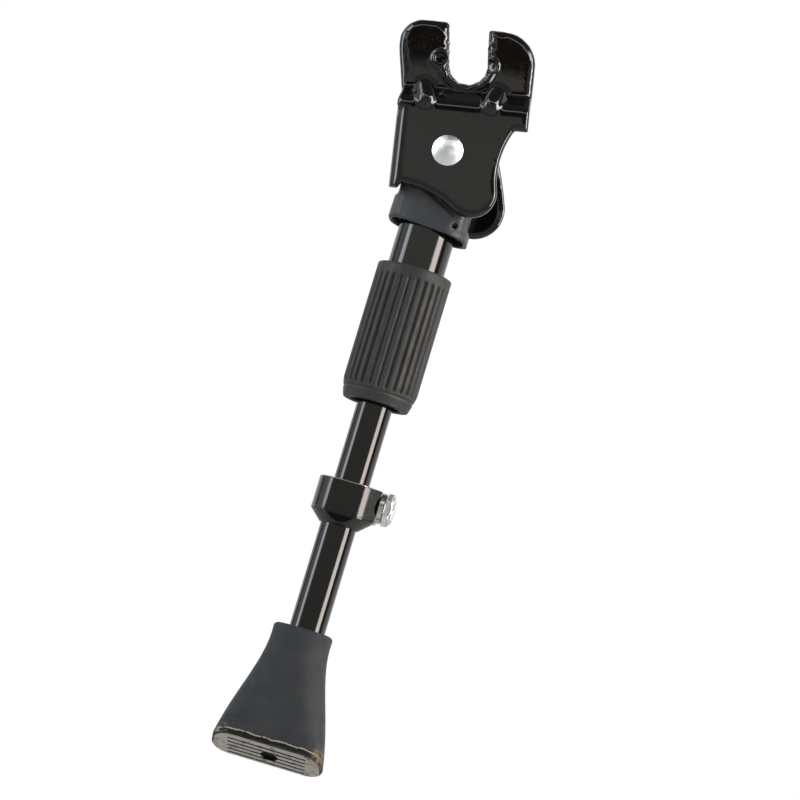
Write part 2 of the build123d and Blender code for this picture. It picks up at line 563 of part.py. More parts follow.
def make_rod():
    """Telescoping rod with chamfered ends and a cross hole for the pin."""
    rod = rod_between(ROD_DIAMETER / 2, ROD_END, ROD_TOP)
    rod = chamfer(rod.edges().filter_by(GeomType.CIRCLE), ROD_EDGE)
    return rod - Pos(0, 0, PIN_LEVEL) * Rot(0, 90, 0) * Cylinder(PIN_DIAMETER / 2, TUBE_OD)


def make_foot():
    """Rubber foot lofted from a round neck to a wide end, cut to a slanted sole with grooves and a hole."""
    top_half = FOOT_TOP_WIDTH / 2
    sections = ((0, FOOT_TOP_WIDTH, FOOT_TOP_WIDTH, top_half - FOOT_FLAT),
                (FOOT_NECK_DROP, FOOT_TOP_WIDTH, FOOT_TOP_WIDTH, top_half - FOOT_NECK_FLAT),
                (FOOT_MID_DROP, FOOT_MID_WIDTH, FOOT_MID_DEPTH, FOOT_MID_DEPTH / 2 - FOOT_MID_FLAT),
                (FOOT_LOW_DROP, FOOT_LOW_WIDTH, FOOT_LOW_DEPTH, FOOT_ROUND),
                (FOOT_END_DROP, FOOT_END_WIDTH, FOOT_END_DEPTH, FOOT_ROUND))
    foot = loft([Pos(FOOT_SHIFT, 0, FOOT_TOP - drop) * RectangleRounded(width, depth, edge)
                 for drop, width, depth, edge in sections])
    sole = Pos(FOOT_SHIFT, 0, SOLE_LEVEL) * Rot(-SOLE_SLANT, 0, 0)
    below = Pos(0, 0, -FOOT_END_DROP / 2) * Box(3 * FOOT_END_WIDTH, 3 * FOOT_END_WIDTH, FOOT_END_DROP)
    foot -= sole * below
    for end in (0, -1):
        foot = fillet(foot.faces().sort_by(Axis.Z)[end].edges(), SOLE_EDGE)
    groove = Box(SOLE_GROOVE_LENGTH, SOLE_GROOVE_WIDTH, 2 * SOLE_GROOVE_DEPTH)
    middle = (SOLE_GROOVES - 1) / 2
    foot -= [sole * Pos(0, (i - middle) * SOLE_GROOVE_PITCH, 0) * groove for i in range(SOLE_GROOVES)]
    washer_low = ROD_END - FOOT_WASHER_THICK
    foot -= rod_between(ROD_DIAMETER / 2, ROD_END, FOOT_TOP + ROD_EDGE)
    foot -= rod_between(FOOT_WASHER_OD / 2, washer_low, ROD_END)
    return foot - rod_between(SOLE_HOLE / 2, SOLE_LEVEL - SOLE_DROP, ROD_END)


def make_foot_washer():
    """Steel washer under the rod's end, inside the foot."""
    low = ROD_END - FOOT_WASHER_THICK
    return rod_between(FOOT_WASHER_OD / 2, low, ROD_END) - rod_between(SOLE_HOLE / 2, low, ROD_END)


def make_collar():
    """Stop collar: turned body with a conical lower end, two flats and a boss with a threaded hole."""
    bore = COLLAR_BORE / 2
    radius = COLLAR_OD / 2
    low = COLLAR_TOP - COLLAR_LENGTH
    collar = turned((bore, COLLAR_TOP), (radius - COLLAR_EDGE, COLLAR_TOP),
                    (radius, COLLAR_TOP - COLLAR_EDGE), (radius, low),
                    (COLLAR_CONE_END / 2, low - COLLAR_CONE), (bore, low - COLLAR_CONE))
    boss = Pos(BOSS_REACH / 2, 0, (COLLAR_TOP + low) / 2) * Box(BOSS_REACH, BOSS_WIDTH, COLLAR_LENGTH)
    collar += boss - rod_between(bore, low, COLLAR_TOP)
    flat_y = (radius ** 2 - (COLLAR_FLAT / 2) ** 2) ** 0.5
    for side in (-1, 1):
        cut = Box(2 * COLLAR_OD, COLLAR_OD, 4 * COLLAR_LENGTH)
        collar -= Pos(0, side * (flat_y + COLLAR_OD / 2), COLLAR_TOP) * cut
    hole = Cylinder(BOLT_DIAMETER / 2, BOSS_REACH, align=(Align.CENTER, Align.CENTER, Align.MIN))
    return collar - Pos(0, 0, BOLT_LEVEL) * Rot(0, 90, 0) * hole


def make_bolt():
    """Hexagon bolt whose end bears on the rod."""
    seat = BOSS_REACH + LOCK_WASHER_THICK
    tip = ROD_DIAMETER / 2 + RUNNING_FIT
    shank = rod_between(BOLT_DIAMETER / 2, tip, seat)
    head = Pos(0, 0, seat) * extrude(RegularPolygon(BOLT_FLATS / 2, 6, major_radius=False), BOLT_HEAD)
    corner = BOLT_FLATS / 2 / cos(radians(30))
    top = seat + BOLT_HEAD
    crown = BOLT_FLATS / 2 - BOLT_CROWN / 2
    head &= turned((0, seat), (corner, seat), (corner, top - BOLT_CROWN), (crown, top), (0, top))
    return Pos(0, 0, BOLT_LEVEL) * Rot(0, 90, 0) * (shank + head)


def make_lock_washer():
    """Split washer under the bolt's head."""
    ring = Cylinder(LOCK_WASHER_OD / 2, LOCK_WASHER_THICK) - Cylinder(BOLT_DIAMETER / 2, LOCK_WASHER_THICK)
    ring -= Pos(0, LOCK_WASHER_OD / 2, 0) * Box(LOCK_WASHER_SPLIT, LOCK_WASHER_OD, LOCK_WASHER_THICK)
    return Pos(BOSS_REACH + LOCK_WASHER_THICK / 2, 0, BOLT_LEVEL) * Rot(0, 90, 0) * ring


def main():
    """Build every piece, move the axle slot's centre to the origin and write one file per piece."""
    pieces = {
        "bracket": make_bracket(),
        "pivot_rivet": make_rivet(),
        "pivot_sleeve": make_sleeve(),
        "front_washer": make_friction_washer(-1),
        "rear_washer": make_friction_washer(1),
        "leg_head": make_head(),
        "upper_tube": make_tube(),
        "rubber_grip": make_grip(),
        "guide_bush": make_bush(),
        "detent_plunger": make_plunger(),
        "leg_spring": make_spring(),
        "leg_rod": make_rod(),
        "rod_cap": make_cap(),
        "guide_pin": make_pin(),
        "rubber_foot": make_foot(),
        "foot_washer": make_foot_washer(),
        "stop_collar": make_collar(),
        "clamp_bolt": make_bolt(),
        "lock_washer": make_lock_washer(),
    }
    slot_x = SLOT_SIDE * cos(LEAN) - SLOT_RISE * sin(LEAN)
    slot_z = SLOT_SIDE * sin(LEAN) + SLOT_RISE * cos(LEAN)
    os.makedirs("parts", exist_ok=True)
    for name, solid in pieces.items():
        export_step(Pos(-slot_x, -HOOK_MIDDLE, -slot_z) * solid, f"parts/{name}.step")


main()
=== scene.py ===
"""Looks of the bicycle kickstand: its enamel, steel, plastic and rubber, and the studio with its camera."""
import logging
import math
from dataclasses import dataclass, field
from enum import Enum
from typing import Dict, Optional, Protocol, Sequence, Tuple

import bmesh
import bpy
import numpy as np
from mathutils import Matrix, Vector


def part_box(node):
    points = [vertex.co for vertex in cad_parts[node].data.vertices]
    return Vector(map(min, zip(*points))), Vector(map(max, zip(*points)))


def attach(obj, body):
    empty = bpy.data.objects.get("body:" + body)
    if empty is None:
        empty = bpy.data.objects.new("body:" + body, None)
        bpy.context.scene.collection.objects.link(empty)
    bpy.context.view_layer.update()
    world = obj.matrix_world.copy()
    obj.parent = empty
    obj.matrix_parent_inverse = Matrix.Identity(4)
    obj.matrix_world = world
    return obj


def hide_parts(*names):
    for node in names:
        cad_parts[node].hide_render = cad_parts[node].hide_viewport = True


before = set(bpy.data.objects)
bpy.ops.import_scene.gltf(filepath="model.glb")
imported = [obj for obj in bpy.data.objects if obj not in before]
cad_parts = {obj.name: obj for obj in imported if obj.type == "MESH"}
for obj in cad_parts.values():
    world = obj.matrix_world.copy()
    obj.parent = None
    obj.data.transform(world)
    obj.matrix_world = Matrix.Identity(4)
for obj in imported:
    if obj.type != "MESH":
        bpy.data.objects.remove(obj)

LOG = logging.getLogger("kickstand")
MM = 0.001
TINY = 1e-6
SPECKS_PER_METRE = 1700.0
Colour = Tuple[float, float, float]
Socket = bpy.types.NodeSocket


class Effect(Enum):
    """Shared surface effects, each a shader node group that is built once."""

    PAINT_LUMPS = "paint_lumps"
    DUST = "dust_specks"
    GRAIN = "moulded_grain"
    WEAR = "rubbed_patches"


class Body(Enum):
    """Moving groups that a piece can ride on."""

    BRACKET = "bracket"
    UPPER_LEG = "upper_leg"
    LOWER_LEG = "lower_leg"
    STOP_COLLAR = "stop_collar"


class SubAssembly(Protocol):
    """Anything that makes its own pieces and dresses them."""

    def build(self) -> None:
        """Make and dress the pieces."""


class Sheet:
    """Short hand for adding and joining the nodes of one node tree."""

    def __init__(self, tree: bpy.types.NodeTree) -> None:
        """Keep the tree that the nodes go into."""
        self.tree = tree

    def add(self, kind: str, settings: Optional[Dict[str, object]] = None,
            **inputs: object) -> bpy.types.Node:
        """Add a node.

        Args:
            kind: The node's type name.
            settings: Properties of the node itself.
            **inputs: Values or output sockets for its input sockets, with underscores for spaces.

        Returns:
            The new node.
        """
        node = self.tree.nodes.new(kind)
        for name, value in (settings or {}).items():
            setattr(node, name, value)
        for name, value in inputs.items():
            self.put(node, name.replace("_", " "), value)
        return node

    def put(self, node: bpy.types.Node, name: str, value: object) -> None:
        """Set or join one input of a node.

        Args:
            node: The node that owns the input.
            name: The input's name, or its number as text.
            value: A plain value, or an output socket to join.
        """
        socket = node.inputs[int(name)] if name.isdigit() else node.inputs[name]
        if isinstance(value, Socket):
            self.tree.links.new(value, socket)
        elif socket.type == "RGBA":
            socket.default_value = (*value, 1.0)
        else:
            socket.default_value = value

    def maths(self, operation: str, first: object, second: object = 0.0, third: object = 0.0) -> Socket:
        """Work out one number from others.

        Args:
            operation: Name of the operation.
            first: First value or socket.
            second: Second value or socket.
            third: Third value or socket.

        Returns:
            The result's socket.
        """
        node = self.tree.nodes.new("ShaderNodeMath")
        node.operation = operation
        for index, value in enumerate((first, second, third)):
            self.put(node, str(index), value)
        return node.outputs[0]

    def times(self, *values: object) -> Socket:
        """Multiply two or more numbers.

        Args:
            *values: Values or sockets, of which at least one of the first two is a socket.

        Returns:
            The product's socket.
        """
        result = values[0]
        for value in values[1:]:
            result = self.maths("MULTIPLY", result, value)
        return result

    def span(self, value: object, low: float, high: float, start: object = 0.0, end: object = 1.0) -> Socket:
        """Map a value smoothly from one range to another and hold it at both ends.

        Args:
            value: The socket to map.
            low: Value that gives start.
            high: Value that gives end.
            start: Result at low.
            end: Result at high.

        Returns:
            The mapped socket.
        """
        node = self.tree.nodes.new("ShaderNodeMapRange")
        node.interpolation_type = "SMOOTHSTEP"
        for index, number in enumerate((value, low, high, start, end)):
            self.put(node, str(index), number)
        return node.outputs[0]

    def band(self, value: object, low: float, high: float, soft: float) -> Socket:
        """Mask that is 1 between two values and falls off softly on both sides.

        Args:
            value: The socket to test.
            low: Lower end.
            high: Upper end.
            soft: Width of the soft edge outside each end.

        Returns:
            The mask's socket.
        """
        return self.times(self.span(value, low - soft, low), self.span(value, high, high + soft, 1.0, 0.0))

    def blend(self, share: object, first: object, second: object) -> Socket:
        """Mix two colours.

        Args:
            share: Share of the second colour.
            first: First colour or socket.
            second: Second colour or socket.

        Returns:
            The mixed colour's socket.
        """
        node = self.tree.nodes.new("ShaderNodeMix")
        node.data_type = "RGBA"
        for index, value in ((0, share), (6, first), (7, second)):
            self.put(node, str(index), value)
        return node.outputs[2]

    def place(self) -> Socket:
        """Give the piece's own coordinates, in metres."""
        return self.tree.nodes.new("ShaderNodeTexCoord").outputs["Object"]

    def mark(self, name: str) -> Socket:
        """Give the value of one of the piece's own attributes."""
        return self.add("ShaderNodeAttribute", {"attribute_name": name}).outputs["Fac"]

    def parts(self, vector: object) -> Tuple[Socket, ...]:
        """Give the sockets of a vector's three numbers."""
        return tuple(self.add("ShaderNodeSeparateXYZ", Vector=vector).outputs)

    def noise(self, place: object, scale: object, detail: float = 2.0, rough: float = 0.5) -> Socket:
        """Add a noise pattern.

        Args:
            place: Coordinates socket.
            scale: Waves per metre.
            detail: Number of finer layers.
            rough: Weight of the finer layers.

        Returns:
            The noise value's socket.
        """
        node = self.add("ShaderNodeTexNoise", Vector=place, Scale=scale, Detail=detail, Roughness=rough)
        return node.outputs[0]


class Effects:
    """Builds the shared effect groups on first use and places them in materials."""

    def __init__(self) -> None:
        """Start with no groups."""
        self.made: Dict[Effect, bpy.types.NodeTree] = {}

    def place(self, sheet: Sheet, effect: Effect, scale: float, amount: object = 1.0) -> Socket:
        """Place an effect in a material.

        Args:
            sheet: The material's sheet.
            effect: Which effect.
            scale: Its repeats per metre.
            amount: Factor on its value.

        Returns:
            The effect's value socket.
        """
        if effect not in self.made:
            self.made[effect] = self.build(effect)
        node = sheet.add("ShaderNodeGroup", {"node_tree": self.made[effect]})
        for name, value in (("Place", sheet.place()), ("Scale", scale), ("Amount", amount)):
            sheet.put(node, name, value)
        return node.outputs["Value"]

    def build(self, effect: Effect) -> bpy.types.NodeTree:
        """Build one effect group.

        Args:
            effect: Which effect.

        Returns:
            The group's node tree.
        """
        tree = bpy.data.node_groups.new(effect.value, "ShaderNodeTree")
        tree.interface.new_socket("Place", in_out="INPUT", socket_type="NodeSocketVector")
        for name in ("Scale", "Amount"):
            tree.interface.new_socket(name, in_out="INPUT", socket_type="NodeSocketFloat")
        tree.interface.new_socket("Value", in_out="OUTPUT", socket_type="NodeSocketFloat")
        sheet = Sheet(tree)
        given = sheet.add("NodeGroupInput")
        result = sheet.add("NodeGroupOutput")
        makers = {Effect.PAINT_LUMPS: self.lumps, Effect.DUST: self.dust,
                  Effect.GRAIN: self.grain, Effect.WEAR: self.wear}
        value = makers[effect](sheet, given.outputs["Place"], given.outputs["Scale"])
        sheet.put(result, "Value", sheet.times(value, given.outputs["Amount"]))
        return tree

    @staticmethod
    def lumps(sheet: Sheet, place: Socket, scale: Socket) -> Socket:
        """Height of thickly run paint: broad swells with a fine orange peel on top.

        Args:
            sheet: The group's sheet.
            place: Coordinates socket.
            scale: Swells per metre.

        Returns:
            The height's socket.
        """
        broad = sheet.noise(place, scale, 2.0, 0.45)
        fine = sheet.noise(place, sheet.times(scale, 5.0), 1.0, 0.5)
        return sheet.maths("MULTIPLY_ADD", fine, 0.10, broad)

    @staticmethod
    def dust(sheet: Sheet, place: Socket, scale: Socket) -> Socket:
        """Mask of small specks in drifts: cells that lie close to their centre, thinned by a broad noise.

        Args:
            sheet: The group's sheet.
            place: Coordinates socket.
            scale: Specks per metre.

        Returns:
            The mask's socket.
        """
        cells = sheet.add("ShaderNodeTexVoronoi", Vector=place, Scale=scale, Randomness=1.0)
        speck = sheet.span(cells.outputs["Distance"], 0.10, 0.24, 1.0, 0.0)
        drift = sheet.span(sheet.noise(place, sheet.times(scale, 0.12)), 0.47, 0.66)
        return sheet.times(speck, drift)

    @staticmethod
    def grain(sheet: Sheet, place: Socket, scale: Socket) -> Socket:
        """Fine even grain of moulded plastic or rubber: two noises of different size added.

        Args:
            sheet: The group's sheet.
            place: Coordinates socket.
            scale: Grains per metre.

        Returns:
            The grain's socket.
        """
        fine = sheet.noise(place, scale, 3.0, 0.6)
        coarse = sheet.noise(place, sheet.times(scale, 0.18), 2.0, 0.5)
        return sheet.maths("MULTIPLY_ADD", coarse, 0.8, fine)

    @staticmethod
    def wear(sheet: Sheet, place: Socket, scale: Socket) -> Socket:
        """Mask of rubbed patches: a sharp threshold on a rough noise.

        Args:
            sheet: The group's sheet.
            place: Coordinates socket.
            scale: Patches per metre.

        Returns:
            The mask's socket.
        """
        return sheet.span(sheet.noise(place, scale, 5.0, 0.68), 0.5, 0.62)


EFFECTS = Effects()


@dataclass(frozen=True)
class Enamel:
    """Thick gloss black paint, wavy and speckled above a level and smooth below it."""

    colour: Colour = (0.0042, 0.0039, 0.0036)
    tint: Colour = (0.0080, 0.0047, 0.0037)
    speck: Colour = (0.16, 0.14, 0.12)
    # pale tone of unpainted steel, laid on marked edges as a painted highlight
    bare: Colour = (0.78, 0.77, 0.74)
    roughness: float = 0.085
    cloud: Tuple[float, float] = (0.75, 1.4)
    cloud_scale: float = 900.0
    cloud_range: Tuple[float, float] = (0.3, 0.75)
    tint_scale: float = 420.0
    tint_range: Tuple[float, float] = (0.40, 0.66)
    lump_scale: float = 120.0
    lump_depth: float = 0.00003
    specks: float = 0.15
    rough_specks: float = 0.6
    rough_level: float = 1.0
    rough_fade: float = 4.0 * MM
    rough_depth: float = 0.0
    shine: float = 0.5
    hollow_shine: float = 0.06
    marked: bool = False

    def material(self, name: str) -> bpy.types.Material:
        """Make the paint.

        Args:
            name: The material's name.

        Returns:
            The material.
        """
        material, sheet, shader = start_material(name, self.roughness)
        place = sheet.place()
        above = sheet.span(sheet.parts(place)[2], self.rough_level - self.rough_fade, self.rough_level)
        sheet.put(shader, "Base Color", self.tone(sheet, place, above))
        if self.marked:
            self.mark(sheet, shader)
        least, most = (self.roughness * factor for factor in self.cloud)
        cloud = sheet.noise(place, self.cloud_scale, 3.0, 0.6)
        sheet.put(shader, "Roughness", sheet.span(cloud, *self.cloud_range, least, most))
        depth = sheet.maths("MULTIPLY_ADD", above, self.rough_depth, self.lump_depth)
        height = EFFECTS.place(sheet, Effect.PAINT_LUMPS, self.lump_scale, depth)
        bump = sheet.add("ShaderNodeBump", Height=height, Strength=1.0, Distance=1.0)
        sheet.put(shader, "Normal", bump.outputs["Normal"])
        return material

    def tone(self, sheet: Sheet, place: Socket, above: Socket) -> Socket:
        """Give the colour: black with brown clouds and specks above the level, and on the marked edges the
        pale tone of unpainted steel as a painted highlight.

        Args:
            sheet: The material's sheet.
            place: Coordinates socket.
            above: Mask of what lies above the level.

        Returns:
            The colour's socket.
        """
        cloud = sheet.noise(place, self.tint_scale, 4.0, 0.62)
        warm = sheet.times(sheet.span(cloud, *self.tint_range), above)
        amount = sheet.maths("MULTIPLY_ADD", above, self.rough_specks, self.specks)
        speck = EFFECTS.place(sheet, Effect.DUST, SPECKS_PER_METRE, amount)
        tone = sheet.blend(speck, sheet.blend(warm, self.colour, self.tint), self.speck)
        # painted highlight: the marked edges take the pale metal tone
        return sheet.blend(sheet.mark("glint"), tone, self.bare) if self.marked else tone

    def mark(self, sheet: Sheet, shader: bpy.types.Node) -> None:
        """Make the marked edges metallic as a painted highlight, and the piece's hollows dull.

        Args:
            sheet: The material's sheet.
            shader: The material's shader node.
        """
        sheet.put(shader, "Metallic", sheet.mark("glint"))
        dull = sheet.span(sheet.mark("hollow"), 0.0, 1.0, self.shine, self.hollow_shine)
        sheet.put(shader, "Specular IOR Level", dull)


@dataclass(frozen=True)
class Steel:
    """Bare or plated metal with faint turning marks and dull patches."""

    colour: Colour
    roughness: float
    dull: float = 0.2
    dull_scale: float = 420.0
    dull_tone: float = 0.72
    dull_roughness: float = 0.6
    mark_scale: float = 2600.0
    mark_strength: float = 0.6
    mark_depth: float = 0.00002

    def material(self, name: str) -> bpy.types.Material:
        """Make the metal.

        Args:
            name: The material's name.

        Returns:
            The material.
        """
        material, sheet, shader = start_material(name, self.roughness)
        shader.inputs["Metallic"].default_value = 1.0
        patch = EFFECTS.place(sheet, Effect.WEAR, self.dull_scale, self.dull)
        dull = tuple(self.dull_tone * part for part in self.colour)
        sheet.put(shader, "Base Color", sheet.blend(patch, self.colour, dull))
        rough = sheet.maths("MULTIPLY_ADD", patch, self.dull_roughness, self.roughness)
        sheet.put(shader, "Roughness", rough)
        grain = EFFECTS.place(sheet, Effect.GRAIN, self.mark_scale)
        bump = sheet.add("ShaderNodeBump", Height=grain, Strength=self.mark_strength,
                         Distance=self.mark_depth)
        sheet.put(shader, "Normal", bump.outputs["Normal"])
        return material


@dataclass(frozen=True)
class Moulded:
    """Matte moulded plastic or rubber with fine grain, pale bloom and dust."""

    colour: Colour
    bloom: Colour
    roughness: float = 0.6
    shine: float = 0.35
    grain_scale: float = 2200.0
    grain_depth: float = 0.00005
    specks: float = 0.3
    speck: Colour = (0.16, 0.155, 0.145)
    bloom_scale: float = 170.0
    bloom_range: Tuple[float, float] = (0.35, 0.75)
    rub: float = 0.1
    rub_scale: float = 260.0

    def material(self, name: str) -> bpy.types.Material:
        """Make the plastic or rubber.

        Args:
            name: The material's name.

        Returns:
            The material.
        """
        material, sheet, shader = start_material(name, self.roughness)
        shader.inputs["Specular IOR Level"].default_value = self.shine
        sheet.put(shader, "Base Color", self.tone(sheet))
        rub = EFFECTS.place(sheet, Effect.WEAR, self.rub_scale, self.rub)
        sheet.put(shader, "Roughness", sheet.maths("SUBTRACT", self.roughness, rub))
        bump = sheet.add("ShaderNodeBump", Height=self.height(sheet), Strength=1.0, Distance=1.0)
        sheet.put(shader, "Normal", bump.outputs["Normal"])
        return material

    def height(self, sheet: Sheet) -> Socket:
        """Give the height of the fine grain, in metres."""
        return EFFECTS.place(sheet, Effect.GRAIN, self.grain_scale, self.grain_depth)

    def tone(self, sheet: Sheet) -> Socket:
        """Give the colour: the plain tone, clouded by bloom and dotted with dust.

        Args:
            sheet: The material's sheet.

        Returns:
            The colour's socket.
        """
        cloud = sheet.span(sheet.noise(sheet.place(), self.bloom_scale, 4.0, 0.6), *self.bloom_range)
        speck = EFFECTS.place(sheet, Effect.DUST, SPECKS_PER_METRE, self.specks)
        return sheet.blend(speck, sheet.blend(cloud, self.colour, self.bloom), self.speck)


@dataclass(frozen=True)
class UsedRubber(Moulded):
    """Rubber of the foot, with a dusty sole, scuffs along the sole's front edge, a tan corner rubbed by wear,
    and painted shade in the sole's grooves and along its rounded front edge.

    A zone with two numbers fades from the first to the second, and one with three is a band with its
    softness. Zones whose names end in depth or side run along y or x, those that end in share are thresholds
    of the ragged noise, and the others are heights over the sole.
    """

    sole_level: float = -197.28 * MM
    sole_axis: float = 6.05 * MM
    sole_slope: float = math.tan(math.radians(20.0))
    front_depth: Tuple[float, float] = (0.5 * MM, 3.0 * MM)
    tread: Tuple[float, float] = (0.08 * MM, 0.16 * MM)
    tread_share: Tuple[float, float] = (0.28, 0.5)
    groove: Tuple[float, float, float] = (0.18 * MM, 1.2 * MM, 0.1 * MM)
    groove_depth: Tuple[float, float, float] = (0.5 * MM, 12.5 * MM, 1.0 * MM)
    groove_side: Tuple[float, float] = (13.0 * MM, 15.0 * MM)
    shade: Tuple[float, float, float] = (1.2 * MM, 2.0 * MM, 0.3 * MM)
    line: Tuple[float, float, float] = (2.25 * MM, 2.42 * MM, 0.16 * MM)
    line_share: Tuple[float, float] = (0.36, 0.46)
    patch: Tuple[float, float, float] = (1.0 * MM, 2.6 * MM, 0.8 * MM)
    patch_side: Tuple[float, float] = (-9.5 * MM, -12.5 * MM)
    patch_share: Tuple[float, float] = (0.48, 0.60)
    corner: Tuple[float, float] = (2.5 * MM, 6.0 * MM)
    corner_side: Tuple[float, float] = (13.0 * MM, 15.0 * MM)
    corner_depth: Tuple[float, float] = (2.0 * MM, 6.0 * MM)
    corner_share: Tuple[float, float] = (0.42, 0.58)
    ragged_scale: float = 520.0
    wander_scale: float = 420.0
    wander: float = 1.3 * MM
    creases: Tuple[Tuple[float, float, float], ...] = (
        (4.3 * MM, 4.5 * MM, 0.25 * MM), (5.6 * MM, 5.7 * MM, 0.2 * MM))
    crease_scale: float = 60.0
    crease_wander: float = 1.2 * MM
    crease_depth: float = 0.08 * MM
    dust: Colour = (0.43, 0.40, 0.37)
    # near-black tone of the painted shade in the sole's grooves and along its rounded front edge
    grime: Colour = (0.006, 0.0055, 0.005)
    scuff: Colour = (0.46, 0.41, 0.31)
    tan: Colour = (0.24, 0.175, 0.10)

    def rise(self, sheet: Sheet) -> Tuple[Socket, Socket, Socket]:
        """Give the place's side, its depth and its height over the slanted sole.

        Args:
            sheet: The material's sheet.

        Returns:
            Sockets of x, y and the height over the sole, in metres.
        """
        side, depth, level = sheet.parts(sheet.place())
        back = sheet.maths("SUBTRACT", depth, self.sole_axis)
        over = sheet.maths("SUBTRACT", level, self.sole_level)
        return side, depth, sheet.maths("MULTIPLY_ADD", back, self.sole_slope, over)

    def height(self, sheet: Sheet) -> Socket:
        """Give the height of the grain with two fine creases above the sole's edge, in metres.

        Args:
            sheet: The material's sheet.

        Returns:
            The height's socket.
        """
        waves = sheet.noise(sheet.place(), self.crease_scale)
        wander = sheet.maths("MULTIPLY_ADD", waves, self.crease_wander, self.rise(sheet)[2])
        crease = sheet.maths("ADD", *(sheet.band(wander, *zone) for zone in self.creases))
        return sheet.maths("MULTIPLY_ADD", crease, -self.crease_depth, super().height(sheet))

    def tone(self, sheet: Sheet) -> Socket:
        """Give the colour: the rubber's tone with painted shade in the sole's grooves and along its rounded
        front edge, a dusty sole, scuffs on its edge and the tan corner.

        Args:
            sheet: The material's sheet.

        Returns:
            The colour's socket.
        """
        side, depth, over = self.rise(sheet)
        ragged = sheet.noise(sheet.place(), self.ragged_scale, 5.0, 0.7)
        waves = sheet.noise(sheet.place(), self.wander_scale, 3.0, 0.6)
        wander = sheet.maths("MULTIPLY_ADD", waves, self.wander, over)
        front = sheet.span(depth, *self.front_depth, 1.0, 0.0)
        # painted shade: the walls of the sole's grooves and a band along the rounded front edge go near-black
        grooves = sheet.times(sheet.band(over, *self.groove), sheet.band(depth, *self.groove_depth),
                              sheet.span(sheet.maths("ABSOLUTE", side), *self.groove_side, 1.0, 0.0))
        shade = sheet.times(sheet.band(wander, *self.shade), front)
        dusty = sheet.times(sheet.span(over, *self.tread, 1.0, 0.0), sheet.span(ragged, *self.tread_share))
        line = sheet.times(sheet.band(wander, *self.line), front, sheet.span(ragged, *self.line_share))
        patch = sheet.times(sheet.span(side, *self.patch_side), front, sheet.band(over, *self.patch),
                            sheet.span(ragged, *self.patch_share))
        corner = sheet.times(sheet.span(side, *self.corner_side), sheet.span(over, *self.corner, 1.0, 0.0),
                             sheet.span(depth, *self.corner_depth, 1.0, 0.0),
                             sheet.span(ragged, *self.corner_share))
        # painted shade laid over the rubber's tone where the groove and front-edge masks are set
        tone = sheet.blend(sheet.maths("MAXIMUM", grooves, shade), super().tone(sheet), self.grime)
        tone = sheet.blend(dusty, tone, self.dust)
        tone = sheet.blend(sheet.maths("MAXIMUM", line, patch), tone, self.scuff)
        return sheet.blend(corner, tone, self.tan)


def start_material(name: str, roughness: float) -> Tuple[bpy.types.Material, Sheet, bpy.types.Node]:
    """Start a material with an empty Principled surface.

    Args:
        name: The material's name.
        roughness: The plain roughness.

    Returns:
        The material, the sheet of its nodes and its shader node.
    """
    material = bpy.data.materials.new(name)
    material.use_nodes = True
    material.node_tree.nodes.clear()
    sheet = Sheet(material.node_tree)
    shader = sheet.add("ShaderNodeBsdfPrincipled", Roughness=roughness)
    sheet.add("ShaderNodeOutputMaterial", Surface=shader.outputs[0])
    return material, sheet, shader


def dress(material: bpy.types.Material, *nodes: str) -> None:
    """Give CAD nodes their material.

    Args:
        material: The finish.
        *nodes: Names of the CAD nodes.
    """
    for name in nodes:
        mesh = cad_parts[name].data
        mesh.materials.clear()
        mesh.materials.append(material)
        LOG.info("dressed %s with %s", name, material.name)


def place_piece(name: str, mesh: bpy.types.Mesh, material: bpy.types.Material, body: Body,
                node: str) -> None:
    """Put a finished mesh into the scene in place of a CAD node.

    Args:
        name: The new piece's name.
        mesh: Its mesh, in the shared frame.
        material: Its finish.
        body: The moving group it rides on.
        node: The CAD node it stands for.
    """
    mesh.name = name
    mesh.materials.clear()
    mesh.materials.append(material)
    mesh.polygons.foreach_set("use_smooth", np.ones(len(mesh.polygons), dtype=bool))
    piece = bpy.data.objects.new(name, mesh)
    bpy.context.scene.collection.objects.link(piece)
    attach(piece, body.value)
    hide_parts(node)
    LOG.info("built %s for %s: %d faces", name, node, len(mesh.polygons))


def nearest(points: np.ndarray, targets: np.ndarray, share: int = 1500) -> np.ndarray:
    """Distance of each point from the nearest of some targets.

    Args:
        points: Array of points.
        targets: Array of target points.
        share: Number of points compared at a time.

    Returns:
        The distances.
    """
    size = np.sum(targets ** 2, axis=1)
    blocks = [np.min(size - 2 * block @ targets.T, axis=1) + np.sum(block ** 2, axis=1)
              for block in np.array_split(points, max(1, len(points) // share))]
    return np.sqrt(np.maximum(np.concatenate(blocks), 0.0))


def closed_grid(name: str, points: np.ndarray) -> bpy.types.Mesh:
    """Make a mesh from a grid of points that closes on itself in both directions.

    Args:
        name: The mesh's name.
        points: Array of rows, columns and three coordinates.

    Returns:
        The mesh, with its normals outwards.
    """
    rows, columns = points.shape[:2]
    index = np.arange(rows * columns).reshape(rows, columns)
    right = np.roll(index, -1, axis=1)
    below = np.roll(index, -1, axis=0)
    corner = np.roll(right, -1, axis=0)
    faces = np.stack([index, below, corner, right], axis=-1).reshape(-1, 4)
    mesh = bpy.data.meshes.new(name)
    mesh.from_pydata(points.reshape(-1, 3).tolist(), [], faces.tolist())
    return mesh


